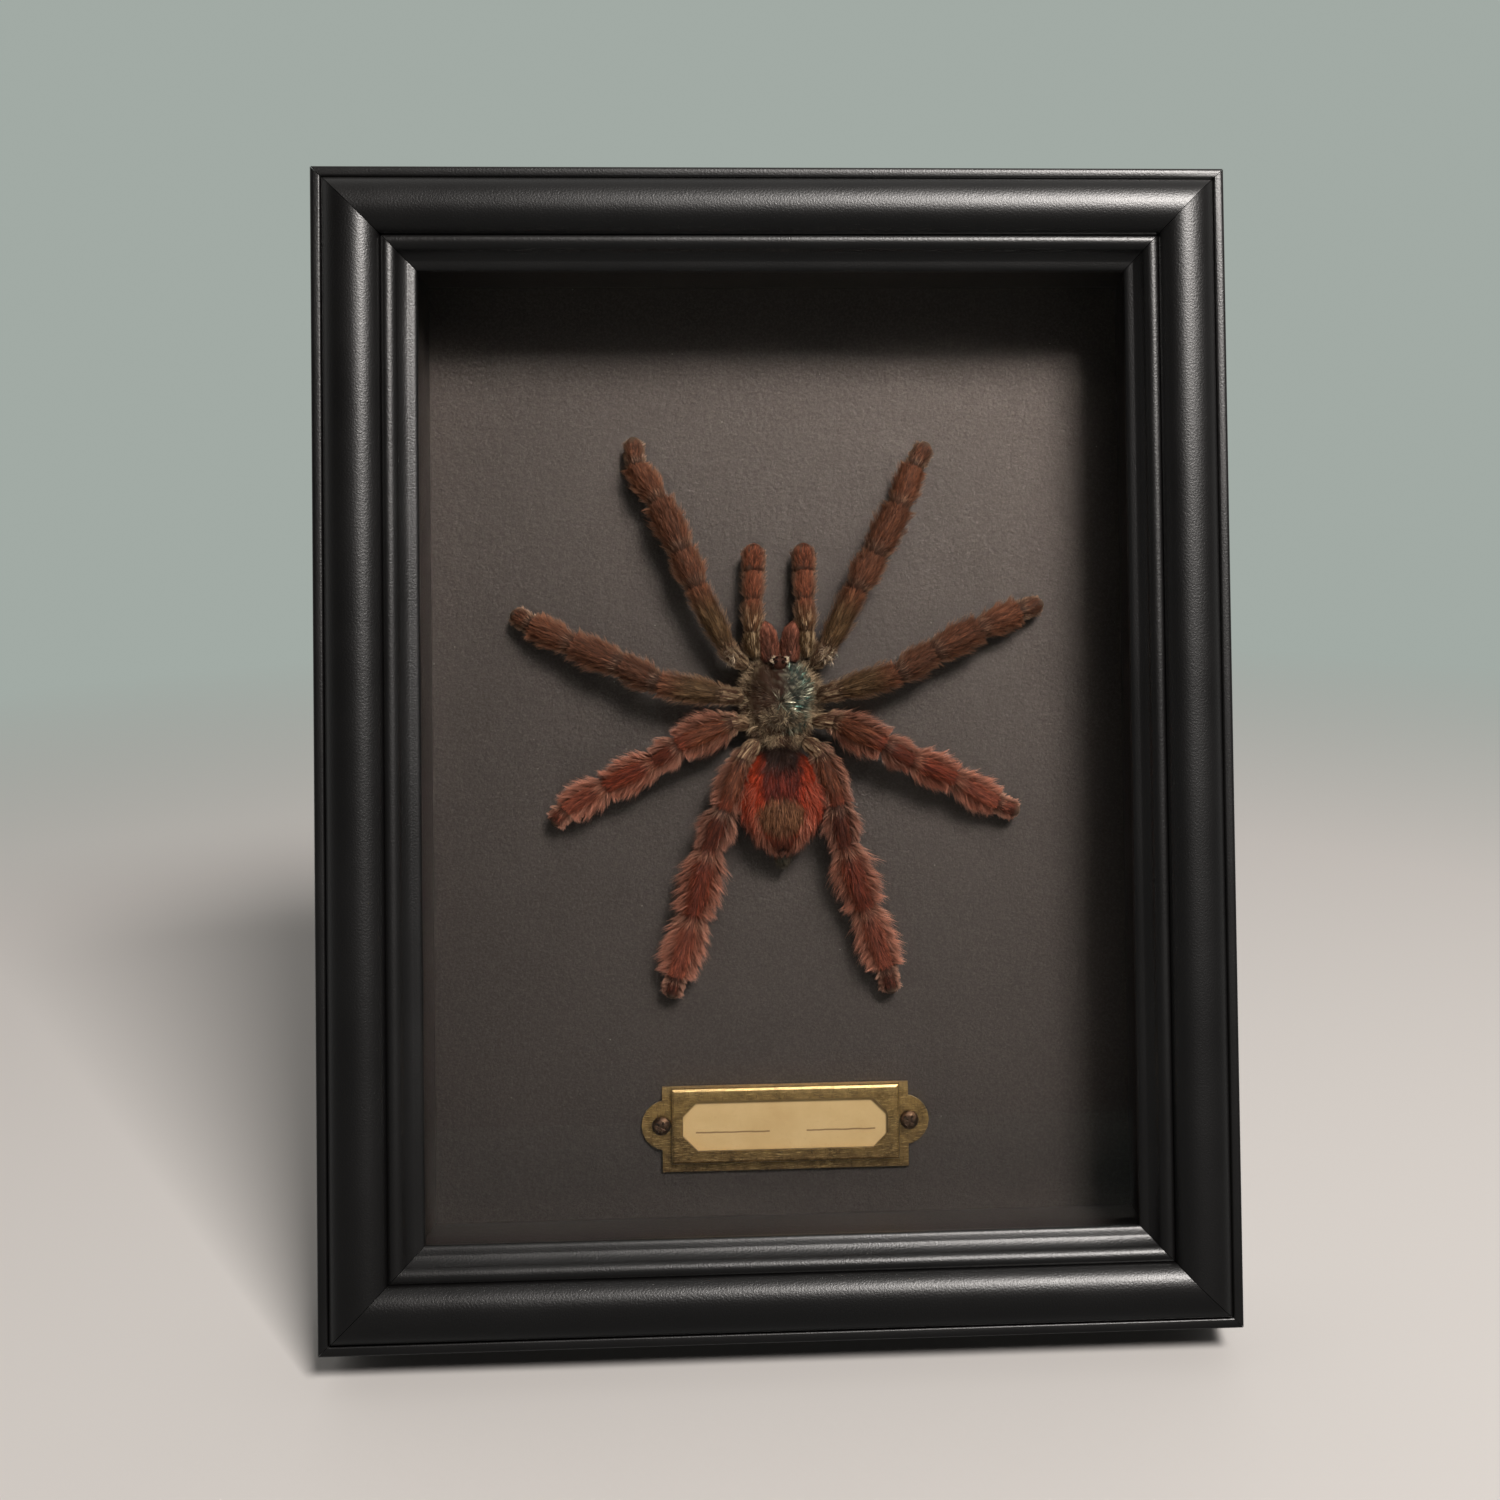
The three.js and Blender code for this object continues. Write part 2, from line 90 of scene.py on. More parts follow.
def shader(tree, kind, inputs=None, **settings):
    """A node of this kind, with its settings, and its inputs, by name or place, linked or set."""
    made = tree.nodes.new("ShaderNode" + kind)
    for name, value in settings.items():
        setattr(made, name, value)
    for name, value in (inputs or {}).items():
        if isinstance(value, bpy.types.NodeSocket):
            tree.links.new(value, made.inputs[name])
        else:
            made.inputs[name].default_value = value
    return made


def rgba(colour):
    return (*colour, 1)


def blank(name):
    material = bpy.data.materials.new(name)
    material.use_nodes = True
    material.node_tree.nodes.clear()
    return material, material.node_tree


def surface(tree, inputs):
    """The Principled shader that ends the tree."""
    made = shader(tree, "BsdfPrincipled", inputs)
    shader(tree, "OutputMaterial", {"Surface": made.outputs["BSDF"]})


def upright_position(tree):
    """The shaded point in the frame's upright millimetres."""
    place = shader(tree, "TexCoord").outputs["Object"]
    turn = Matrix.Rotation(LEAN, 3, "X")
    shift = Vector((0, THICKNESS, 0)) - 1000 * (turn @ Vector((0, SET_DOWN, 0)))
    return shader(
        tree, "Mapping",
        {"Vector": place, "Scale": (1000, 1000, 1000), "Rotation": (LEAN, 0, 0), "Location": shift},
    ).outputs["Vector"]


def stretched(tree, vector, scale):
    return shader(tree, "Mapping", {"Vector": vector, "Scale": scale}).outputs["Vector"]


def noise(tree, vector, scale, detail=4, rough=0.55, distortion=0):
    made = shader(
        tree, "TexNoise",
        {"Vector": vector, "Scale": scale, "Detail": detail, "Roughness": rough, "Distortion": distortion},
    )
    return made.outputs["Fac"]


def ranged(tree, value, low, high, out_low=0.0, out_high=1.0):
    """The value, taken from one range to another and held there."""
    inputs = {"Value": value, "From Min": low, "From Max": high, "To Min": out_low, "To Max": out_high}
    return shader(tree, "MapRange", inputs).outputs["Result"]


def mixed(tree, factor, first, second):
    """A mix of two colours, each a socket or (red, green, blue)."""
    first, second = (c if isinstance(c, bpy.types.NodeSocket) else rgba(c) for c in (first, second))
    return shader(tree, "Mix", {0: factor, 6: first, 7: second}, data_type="RGBA").outputs[2]


def maths(tree, operation, first, second=0.0):
    return shader(tree, "Math", {0: first, 1: second}, operation=operation).outputs[0]


def bumped(tree, height, distance, strength):
    inputs = {"Height": height, "Distance": distance, "Strength": strength}
    return shader(tree, "Bump", inputs).outputs["Normal"]


# ---------------------------------------------------------------- materials


def black_paint():
    material, tree = blank("black_paint")
    at = upright_position(tree)
    peel = noise(tree, at, 2.6, 2)
    fine = noise(tree, at, 7, 2)
    handling = noise(tree, at, 0.05, 4)
    height = maths(tree, "ADD", peel, maths(tree, "MULTIPLY", fine, 0.35))
    surface(tree, {
        "Base Color": mixed(tree, handling, (0.0015, 0.0013, 0.0013), (0.003, 0.0027, 0.0027)),
        "Roughness": ranged(tree, handling, 0.3, 0.7, 0.34, 0.38),
        "Specular IOR Level": 1.0,
        "Normal": bumped(tree, height, 0.00006, 0.8),
    })
    return material


def clear_glass():
    material, tree = blank("clear_glass")
    surface(tree, {
        "Base Color": (0.96, 0.985, 0.975, 1),
        "Transmission Weight": 1.0,
        "IOR": 1.22,
        "Roughness": 0.0,
    })
    return material


def dark_card():
    material, tree = blank("dark_card")
    at = upright_position(tree)
    mottle = noise(tree, at, 0.06, 4)
    tooth = noise(tree, at, 2.2, 6, 0.75)
    weave = noise(tree, at, 0.7, 5, 0.65)
    flecks = shader(tree, "TexVoronoi", {"Vector": at, "Scale": 0.16, "Randomness": 1.0})
    dust = maths(tree, "LESS_THAN", flecks.outputs["Distance"], 0.022)
    tone = mixed(tree, ranged(tree, mottle, 0.3, 0.7), (0.0065, 0.0057, 0.0053), (0.0085, 0.0076, 0.0071))
    grained = mixed(tree, ranged(tree, tooth, 0.44, 0.64), tone, (0.032, 0.0277, 0.0263))
    surface(tree, {
        "Base Color": mixed(tree, maths(tree, "MULTIPLY", dust, 0.5), grained, (0.3, 0.28, 0.26)),
        "Roughness": ranged(tree, tooth, 0.4, 0.65, 0.5, 0.44),
        "Specular IOR Level": 0.6,
        "Specular Tint": (1.0, 0.82, 0.74, 1.0),
        "Normal": bumped(tree, maths(tree, "ADD", tooth, weave), 0.00014, 0.7),
    })
    return material


def fibreboard():
    material, tree = blank("fibreboard")
    at = upright_position(tree)
    fibres = noise(tree, stretched(tree, at, (0.5, 1, 2.2)), 1.6, 6, 0.7, 1.2)
    blotches = noise(tree, at, 0.045, 5, 0.6)
    specks = noise(tree, at, 2.6, 3, 0.8)
    tone = mixed(tree, ranged(tree, blotches, 0.3, 0.7), (0.15, 0.083, 0.043), (0.225, 0.135, 0.075))
    fibred = mixed(tree, ranged(tree, fibres, 0.35, 0.75), tone, (0.31, 0.2, 0.115))
    surface(tree, {
        "Base Color": mixed(tree, ranged(tree, specks, 0.62, 0.7), fibred, (0.07, 0.036, 0.02)),
        "Roughness": ranged(tree, fibres, 0.2, 0.8, 0.62, 0.86),
        "Normal": bumped(tree, maths(tree, "ADD", fibres, specks), 0.00015, 0.5),
    })
    return material


def zinc_steel():
    material, tree = blank("zinc_steel")
    at = upright_position(tree)
    brushed = noise(tree, stretched(tree, at, (0.3, 6, 9)), 1.4, 4, 0.6)
    stain = noise(tree, at, 0.5, 5, 0.6)
    surface(tree, {
        "Base Color": mixed(tree, ranged(tree, stain, 0.35, 0.75), (0.5, 0.51, 0.52), (0.34, 0.33, 0.31)),
        "Metallic": 1.0,
        "Roughness": ranged(tree, brushed, 0.3, 0.7, 0.3, 0.5),
        "Normal": bumped(tree, brushed, 0.00003, 0.5),
    })
    return material


def brass(name, dark, light):
    """Tarnished and scratched brass, darker low down, with a painted highlight along its top."""
    material, tree = blank(name)
    at = upright_position(tree)
    tarnish = noise(tree, at, 0.35, 7, 0.68, 0.6)
    scratches = noise(tree, stretched(tree, at, (0.4, 3, 7)), 1.2, 5, 0.7)
    cross = noise(tree, stretched(tree, at, (7, 3, 0.5)), 0.9, 5, 0.7)
    height = shader(tree, "SeparateXYZ", {"Vector": at}).outputs["Z"]
    tone = mixed(tree, ranged(tree, tarnish, 0.35, 0.65), dark, light)
    # Darker towards the bottom of the holder.
    darker_below = ranged(tree, height, LABEL_Z - 4, LABEL_Z + 4, 0.4, 0.0)
    # A painted highlight: lighter brass along the top edge, where the lamp falls.
    top_highlight = ranged(tree, height, LABEL_Z + 6, LABEL_Z + 7.5, 0.0, 0.3)
    darkened_below = mixed(tree, darker_below, tone, (0.06, 0.03, 0.01))
    highlighted = mixed(tree, top_highlight, darkened_below, (0.6, 0.42, 0.2))
    lined = mixed(tree, ranged(tree, scratches, 0.54, 0.64), highlighted, (0.62, 0.42, 0.18))
    dulled = mixed(tree, ranged(tree, cross, 0.58, 0.7), lined, (0.04, 0.024, 0.012))
    surface(tree, {
        "Base Color": dulled,
        "Metallic": 0.9,
        "Roughness": ranged(tree, tarnish, 0.3, 0.7, 0.42, 0.28),
        "Normal": bumped(tree, scratches, 0.00004, 0.5),
    })
    return material


def dark_bronze():
    material, tree = blank("dark_bronze")
    at = upright_position(tree)
    patina = noise(tree, at, 1.3, 5, 0.6)
    bronze = mixed(tree, ranged(tree, patina, 0.35, 0.7), (0.035, 0.018, 0.011), (0.11, 0.06, 0.034))
    surface(tree, {
        "Base Color": bronze,
        "Metallic": 0.85,
        "Roughness": ranged(tree, patina, 0.3, 0.7, 0.35, 0.55),
    })
    return material


def cream_card():
    """Cream card with two plain ruled lines where a name would be written."""
    material, tree = blank("cream_card")
    at = upright_position(tree)
    split = shader(tree, "SeparateXYZ", {"Vector": at})
    across = split.outputs["X"]
    height = maths(tree, "SUBTRACT", split.outputs["Z"], LABEL_Z)
    wander = maths(tree, "MULTIPLY", maths(tree, "SUBTRACT", noise(tree, at, 0.3, 2), 0.5), 0.3)
    below = maths(tree, "ABSOLUTE", maths(tree, "ADD", maths(tree, "ADD", height, 1.6), wander))
    stroke = ranged(tree, below, 0.1, 0.22, 1, 0)
    left = maths(tree, "LESS_THAN", maths(tree, "ABSOLUTE", maths(tree, "ADD", across, 11.5)), 8)
    right_side = maths(tree, "LESS_THAN", maths(tree, "ABSOLUTE", maths(tree, "SUBTRACT", across, 12)), 7.5)
    ruled = maths(tree, "MULTIPLY", stroke, maths(tree, "ADD", left, right_side))
    fibres = noise(tree, at, 1.8, 6, 0.7)
    ageing = noise(tree, at, 0.12, 4, 0.6)
    tone = mixed(tree, ranged(tree, ageing, 0.3, 0.7), (0.56, 0.375, 0.17), (0.64, 0.45, 0.22))
    paper = mixed(tree, ranged(tree, fibres, 0.55, 0.8), tone, (0.5, 0.32, 0.145))
    surface(tree, {
        "Base Color": mixed(tree, maths(tree, "MULTIPLY", ruled, 0.75), paper, (0.13, 0.06, 0.025)),
        "Roughness": 0.85,
        "Specular IOR Level": 0.3,
        "Normal": bumped(tree, fibres, 0.00005, 0.5),
    })
    return material


def specimen_finish(name, roughness, metallic=0.0):
    """Cuticle or hair that takes its colour from the mesh's own colour attribute."""
    material, tree = blank(name)
    own = shader(tree, "VertexColor", layer_name="tone").outputs["Color"]
    fleck = noise(tree, upright_position(tree), 3.0, 3, 0.6)
    surface(tree, {
        "Base Color": mixed(tree, ranged(tree, fleck, 0.25, 0.8, 0.0, 0.35), own, (0.02, 0.012, 0.01)),
        "Roughness": roughness,
        "Metallic": metallic,
        "Specular IOR Level": 0.12,
    })
    return material


BLACK_PAINT = black_paint()
GLASS = clear_glass()
DARK_CARD = dark_card()
FIBREBOARD = fibreboard()
ZINC_STEEL = zinc_steel()
AGED_BRASS = brass("aged_brass", (0.11, 0.067, 0.025), (0.4, 0.25, 0.095))
WORN_BRASS = brass("worn_brass", (0.3, 0.205, 0.09), (0.66, 0.46, 0.22))
DARK_BRONZE = dark_bronze()
CREAM_CARD = cream_card()
CUTICLE = specimen_finish("dried_cuticle", 0.7)
HAIR = specimen_finish("dry_hair", 0.6)
METALLIC_HAIR = specimen_finish("metallic_hair", 0.34, 0.75)
EYE = specimen_finish("dark_eye", 0.12)

# ---------------------------------------------------------------- floor and light

FLOOR_RADIUS, FLOOR_SIDES = 6, 96  # metres
FLOOR_TONE = (0.76, 0.735, 0.71)
ROOM_TONE = (0.36, 0.405, 0.375)  # what shows behind the object
LIGHT_TONE = (0.4, 0.39, 0.375)  # what lights it and mirrors in it


def floor_finish():
    """Pale near the object, and the room's own tone further off, so that no horizon shows."""
    material, tree = blank("floor")
    place = shader(tree, "TexCoord").outputs["Object"]
    distance = shader(tree, "VectorMath", {0: place}, operation="LENGTH").outputs["Value"]
    near = shader(tree, "BsdfPrincipled", {"Base Color": rgba(FLOOR_TONE), "Roughness": 0.6})
    far = shader(tree, "Emission", {"Color": rgba(ROOM_TONE)})
    share = ranged(tree, distance, 0.36, 0.8)
    both = shader(tree, "MixShader", {0: share, 1: near.outputs[0], 2: far.outputs[0]})
    shader(tree, "OutputMaterial", {"Surface": both.outputs[0]})
    return material


def add_floor():
    mesh = bpy.data.meshes.new("floor")
    angles = np.linspace(0, 2 * math.pi, FLOOR_SIDES, endpoint=False)
    rim = [(FLOOR_RADIUS * math.cos(a), FLOOR_RADIUS * math.sin(a), 0) for a in angles]
    mesh.from_pydata(rim, [], [list(range(FLOOR_SIDES))])
    mesh.materials.append(floor_finish())
    floor = bpy.data.objects.new("floor", mesh)
    bpy.context.scene.collection.objects.link(floor)
    floor.visible_glossy = False


def add_lamp(name, place, aim, size, power, colour):
    """A rectangular lamp at a place in upright millimetres, facing another."""
    data = bpy.data.lights.new(name, "AREA")
    data.shape = "RECTANGLE"
    data.size, data.size_y = size
    data.energy = power
    data.color = colour
    lamp = bpy.data.objects.new(name, data)
    start, end = UPRIGHT @ Vector(place), UPRIGHT @ Vector(aim)
    facing = (end - start).to_track_quat("-Z", "Y").to_matrix().to_4x4()
    lamp.matrix_world = Matrix.Translation(start) @ facing
    bpy.context.scene.collection.objects.link(lamp)


def add_room():
    """Bright behind and above; in front, where it mirrors in glass and paint, dim above the horizon."""
    world = bpy.data.worlds.new("room")
    world.use_nodes = True
    tree = world.node_tree
    tree.nodes.clear()
    split = shader(tree, "SeparateXYZ", {"Vector": shader(tree, "TexCoord").outputs["Generated"]})
    toward_back = maths(tree, "MULTIPLY", split.outputs["Y"], 0.8)
    toward_top = maths(tree, "MULTIPLY", split.outputs["Z"], 0.2)
    front = ranged(tree, split.outputs["Z"], -0.02, 0.3, 0.22, 0.025)
    level = ranged(tree, maths(tree, "ADD", toward_back, toward_top), -0.2, 0.6, front, 1.0)
    seen = shader(tree, "LightPath").outputs["Is Camera Ray"]
    held = maths(tree, "ADD", maths(tree, "MULTIPLY", level, maths(tree, "SUBTRACT", 1.0, seen)), seen)
    tone = mixed(tree, seen, LIGHT_TONE, ROOM_TONE)
    background = shader(tree, "Background", {"Color": tone, "Strength": held})
    shader(tree, "OutputWorld", {"Surface": background.outputs[0]})
    bpy.context.scene.world = world


add_floor()
add_room()
add_lamp("key", (464, -1100, 904), (0, 20, 130), (0.42, 0.34), 22, (1.0, 0.95, 0.91))
bpy.context.scene.view_settings.view_transform = "Standard"

# ---------------------------------------------------------------- mesh helpers


def piece(name, mesh, finish, body="frame", replaces=()):
    """Puts a finished mesh into the scene and says what it is."""
    mesh.materials.append(finish)
    made = bpy.data.objects.new(name, mesh)
    bpy.context.scene.collection.objects.link(made)
    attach(made, body)
    if replaces:
        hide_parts(*replaces)
    return made


def mesh_of(name, points, faces, place, sharp):
    """A smooth-shaded mesh from points in millimetres, with edges sharp from this many degrees."""
    mesh = bpy.data.meshes.new(name)
    mesh.from_pydata([place @ Vector(p) for p in points], [], faces)
    mesh.polygons.foreach_set("use_smooth", [True] * len(mesh.polygons))
    mesh.set_sharp_from_angle(angle=math.radians(sharp))
    return mesh


def eased(node, finish, width, name, body="frame", segments=2):
    """A copy of a solid, with its edges eased by this width in millimetres, in the solid's place."""
    mesh = bpy.data.meshes.new(name)
    work = bmesh.new()
    work.from_mesh(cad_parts[node].data)
    bmesh.ops.remove_doubles(work, verts=work.verts, dist=1e-6)
    bmesh.ops.dissolve_limit(work, angle_limit=0.02, verts=work.verts, edges=work.edges)
    work.to_mesh(mesh)
    work.free()
    mesh.materials.clear()
    mesh.polygons.foreach_set("use_smooth", [True] * len(mesh.polygons))
    made = piece(name, mesh, finish, body, (node,))
    bevel = made.modifiers.new("eased_edges", "BEVEL")
    bevel.width = 0.001 * width
    bevel.segments = segments
    bevel.limit_method = "ANGLE"
    bevel.angle_limit = math.radians(30)
    bevel.harden_normals = True
    return made


def flat_faced(made):
    """Plain faces between a piece's eased edges."""
    made.data.polygons.foreach_set("use_smooth", [False] * len(made.data.polygons))
    made.modifiers["eased_edges"].harden_normals = False


def dress(node, finish):
    """Gives a solid that stays as it is its material."""
    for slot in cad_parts[node].material_slots:
        slot.material = finish


# ---------------------------------------------------------------- moulding


def bezier(points, count):
    """Points along a quadratic or cubic curve, without its first."""
    made = []
    for i in range(1, count + 1):
        row, t = [Vector(p) for p in points], i / count
        while len(row) > 1:
            row = [a.lerp(b, t) for a, b in zip(row, row[1:])]
        made.append(tuple(row[0]))
    return made


def rail_section():
    """The moulding's section as (depth, distance from the outer edge), once round."""
    section = [(THICKNESS, 0.5), (THICKNESS - 0.15, 0.15), (THICKNESS - 0.5, 0), (0.9, 0)]
    section += bezier([(0.9, 0), (0, 0), (0, 0.9)], 6)
    section += [(0, 1.8)]
    section += bezier([(0, 1.8), (0.05, 2.1), (0.6, 2.3)], 4)
    section += bezier([(0.6, 2.3), (-1.8, 2.7), (-3.5, 5.5), (-3.5, 8.8)], 22)
    section += bezier([(-3.5, 8.8), (-3.5, 11.1), (-2.4, 12.8), (-1, 13.7)], 18)
    section += bezier([(-1, 13.7), (-0.3, 14.05), (0.1, 14.05)], 4)
    section += bezier([(0.1, 14.05), (-0.9, 14.4), (-0.9, 16.6), (0.9, 17.3)], 14)
    section += [(2.1, 18.8)]
    section += bezier([(2.1, 18.8), (2.4, 19.9), (2.5, FACE), (3.3, FACE)], 10)
    section += [(LIP_BACK - 0.15, FACE), (LIP_BACK, FACE - 0.15), (LIP_BACK, WALL)]
    section += [(THICKNESS - 0.3, WALL), (THICKNESS, WALL - 0.3)]
    return section


def moulding():
    section = rail_section()
    count = len(section)
    rails = [
        ("bottom", WIDTH, HEIGHT / 2, 0),
        ("top", WIDTH, HEIGHT / 2, math.pi),
        ("left", HEIGHT, WIDTH / 2, math.pi / 2),
        ("right", HEIGHT, WIDTH / 2, -math.pi / 2),
    ]
    stations = np.linspace(-1, 1, 13)
    for name, length, distance, turn in rails:
        place = UPRIGHT @ Matrix.Translation((0, 0, MIDDLE_Z)) @ Matrix.Rotation(turn, 4, "Y")
        points = []
        for station in stations:
            for depth, inward in section:
                reach = length / 2 - inward - MITRE_GAP
                points.append((station * reach, depth, inward - distance))
        faces = []
        for row in range(len(stations) - 1):
            for i in range(count):
                j = (i + 1) % count
                a, b = row * count, (row + 1) * count
                faces.append((a + i, a + j, b + j, b + i))
        faces.append(tuple(reversed(range(count))))
        faces.append(tuple(range(count * (len(stations) - 1), count * len(stations))))
        mesh = mesh_of(f"moulding_{name}", points, faces, place, 28)
        face_outward(mesh)
        piece(f"moulding_{name}", mesh, BLACK_PAINT, "frame", (f"rail_{name}",))


def face_outward(mesh):
    work = bmesh.new()
    work.from_mesh(mesh)
    bmesh.ops.recalc_face_normals(work, faces=work.faces)
    work.to_mesh(mesh)
    work.free()


moulding()

# ---------------------------------------------------------------- glass, card and back

pane = eased("glass_pane", GLASS, 0.15, "glazing", segments=1)
flat_faced(pane)
pane.visible_shadow = False
pane.visible_diffuse = False
dress("backing_card", DARK_CARD)
for side in ("top", "bottom", "left", "right"):
    eased(f"spacer_{side}", DARK_CARD, 0.12, f"box_wall_{side}")
eased("back_panel", FIBREBOARD, 0.3, "panel_board")
for number in range(1, 9):
    eased(f"retaining_point_{number}", ZINC_STEEL, 0.15, f"glazing_point_{number}")
eased("hinge_leaf_panel", ZINC_STEEL, 0.15, "leaf_on_panel")
eased("hinge_leaf_strut", ZINC_STEEL, 0.15, "leaf_on_strut", "strut")
eased("hinge_pin", ZINC_STEEL, 0.2, "pin_of_hinge")
eased("easel_strut", FIBREBOARD, 0.35, "strut_board", "strut")
for side in ("left", "right"):
    eased(f"hinge_screw_{side}", ZINC_STEEL, 0.1, f"panel_screw_{side}")
    eased(f"strut_rivet_{side}", ZINC_STEEL, 0.1, f"board_rivet_{side}", "strut")

# ---------------------------------------------------------------- label

holder = eased("label_holder", AGED_BRASS, 0.16, "brass_holder")
flat_faced(holder)
holder.data.materials.append(WORN_BRASS)
holder.modifiers["eased_edges"].material = 1  # the eased edges are the worn ones
dress("label_card", CREAM_CARD)
for side in ("left", "right"):
    eased(f"label_screw_{side}", DARK_BRONZE, 0.08, f"holder_screw_{side}")

# ---------------------------------------------------------------- tarantula: its form

TO_WORLD = np.array(UPRIGHT @ Matrix.Translation((0, CARD_FRONT, WAIST_Z)))

# Points of the specimen are (x, z, height above the card) about its waist, in millimetres. The
# legs run from the front pair to the rear one, their seven joints from the hip to the claws, and
# their six radii are of hip, femur, patella, tibia, metatarsus and tarsus with their hair.
LEFT_LEGS = [
    [[-7, 17], [-11, 20.5], [-17.5, 34], [-20.5, 41.5], [-25.5, 52.5], [-30.5, 60.5], [-31.5, 67.5]],
    [[-8, 10.5], [-12, 11], [-25.5, 13.5], [-33.5, 17.5], [-44, 22], [-53, 26.5], [-58, 29.5]],
    [[-7, 4.5], [-10.5, 5], [-21.5, 0.5], [-26.5, -3], [-37, -8], [-46, -13], [-49.5, -16.5]],
    [[-5, 1], [-8, -2.5], [-12, -13], [-15.5, -21.5], [-19, -35.5], [-23, -49], [-24.5, -54.5]],
]
RIGHT_LEGS = [
    [[7, 17], [10, 20.5], [16.5, 33], [20.5, 40.5], [26, 51], [29.5, 60], [33, 66]],
    [[8, 10.5], [12, 11.5], [25, 15], [33, 19.5], [43, 24.5], [52, 28.5], [58, 30.5]],
    [[7, 5], [11.5, 5], [22, 0], [28, -3.5], [37, -7.5], [46.5, -13], [52, -15.5]],
    [[5, 1], [8.5, -2], [12, -12.5], [13.5, -21.5], [17.5, -34.5], [22, -48], [23.5, -54.5]],
]
LEG_HEIGHTS = [5.5, 7, 8.5, 7.6, 6.3, 4.6, 3.2]
LEG_RADII = [
    [2.4, 2.7, 3.2, 3.5, 2.9, 2.2],
    [2.4, 2.9, 3.1, 3.4, 3.0, 2.2],
    [2.6, 3.6, 2.9, 3.5, 3.3, 2.2],
    [2.8, 3.2, 3.4, 4.7, 4.1, 2.2],
]
PALP_JOINTS = [[5.5, 19, 6], [5.9, 24, 7], [5.6, 31, 6.5], [5.5, 37.5, 5], [5.4, 44, 3.8]]
PALP_RADII = [2.2, 2.4, 2.6, 3]
CHELICERA_JOINTS = [[1.8, 18, 6.5], [3.5, 27, 5.5]]
CHELICERA_RADIUS = 2.8

# Ellipsoids, each a centre and half its size.
ABDOMEN = (0, -11, 6.4), (7.9, 11.0, 5.6)
CARAPACE = (0, 10.5, 5.0), (7.6, 10.0, 4.2)
SPINNERETS = (0, -22, 4.2), (1.9, 3.8, 2.0)
WAIST = (0, 0, 5.2), (2.8, 3, 3.0)
EYE_MOUND = (0, 17.8, 9.0), (1.7, 1.5, 1.3)
EYES = ((0.75, 17.9, 10.1, 0.42), (1.15, 18.5, 9.6, 0.34), (1.3, 17.3, 9.6, 0.3), (0.55, 18.8, 9.8, 0.3))
FOVEA = -0.15  # where the pit lies along the carapace, as a share of half its length

# The share of the haired radius that the cuticle has, a segment each.
LEG_SLENDERS = [
    [0.5, 0.7, 0.74, 0.74, 0.74, 0.84],
    [0.5, 0.7, 0.74, 0.74, 0.74, 0.84],
    [0.5, 0.56, 0.6, 0.5, 0.5, 0.76],
    [0.5, 0.6, 0.55, 0.4, 0.42, 0.76],
]
PALP_SLENDERS = [0.66, 0.72, 0.74, 0.78]
CHELICERA_SLENDER = 0.74

SEED = 20
LOCK = 0.32  # width of a lock of hair on a limb
TUFTS = 6  # tufts of hair along a segment
BODY_LOCK = 0.55, 1.3  # width and length of a lock of hair on the body

# Colours of the dried cuticle and hair.
BROWN = np.array((0.15, 0.046, 0.02))
UMBER = np.array((0.045, 0.013, 0.006))
GARNET = np.array((0.085, 0.013, 0.005))
ROSE = np.array((0.36, 0.12, 0.07))
CREAM = np.array((0.5, 0.37, 0.26))
PINK = np.array((0.52, 0.25, 0.175))
FAWN = np.array((0.42, 0.23, 0.14))
GOLD = np.array((0.33, 0.235, 0.14))
OLIVE = np.array((0.085, 0.045, 0.016))
RUST = np.array((0.18, 0.036, 0.015))
ORANGE = np.array((0.46, 0.05, 0.013))
EMBER = np.array((0.2, 0.018, 0.007))
SOOT = np.array((0.022, 0.008, 0.005))
BOTTLE = np.array((0.02, 0.028, 0.022))
TEAL = np.array((0.025, 0.075, 0.06))
PEWTER = np.array((0.42, 0.365, 0.26))


def blended(first, second, amount):
    """Rows of colour between the first and the second."""
    amount = np.clip(amount, 0, 1)[..., None]
    return first * (1 - amount) + second * amount


def step(low, high, value):
    """A smooth rise from 0 to 1 between low and high."""
    t = np.clip((value - low) / (high - low), 0, 1)
    return t * t * (3 - 2 * t)


def to_frame(points):
    """Specimen points (x, z, height) as (x, -height, z), the upright order."""
    return np.stack([points[..., 0], -points[..., 2], points[..., 1]], -1)


def fast_mesh(name, points, triangles, tones, finish, replaces=()):
    """A mesh of many triangles from specimen points, with a colour at each point."""
    flat = to_frame(points.reshape(-1, 3))
    world = flat @ TO_WORLD[:3, :3].T + TO_WORLD[:3, 3]
    mesh = bpy.data.meshes.new(name)
    mesh.vertices.add(len(world))
    mesh.vertices.foreach_set("co", world.astype(np.float32).ravel())
    mesh.loops.add(triangles.size)
    mesh.loops.foreach_set("vertex_index", triangles.astype(np.int32).ravel())
    mesh.polygons.add(len(triangles))
    mesh.polygons.foreach_set("loop_start", np.arange(0, triangles.size, 3, dtype=np.int32))
    mesh.polygons.foreach_set("use_smooth", np.ones(len(triangles), bool))
    mesh.update(calc_edges=True)
    layer = mesh.color_attributes.new(name="tone", type="FLOAT_COLOR", domain="POINT")
    full = np.ones((len(world), 4), np.float32)
    full[:, :3] = np.clip(tones.reshape(-1, 3), 0, 1)
    layer.data.foreach_set("color", full.ravel())
    piece(name, mesh, finish, "frame", replaces)


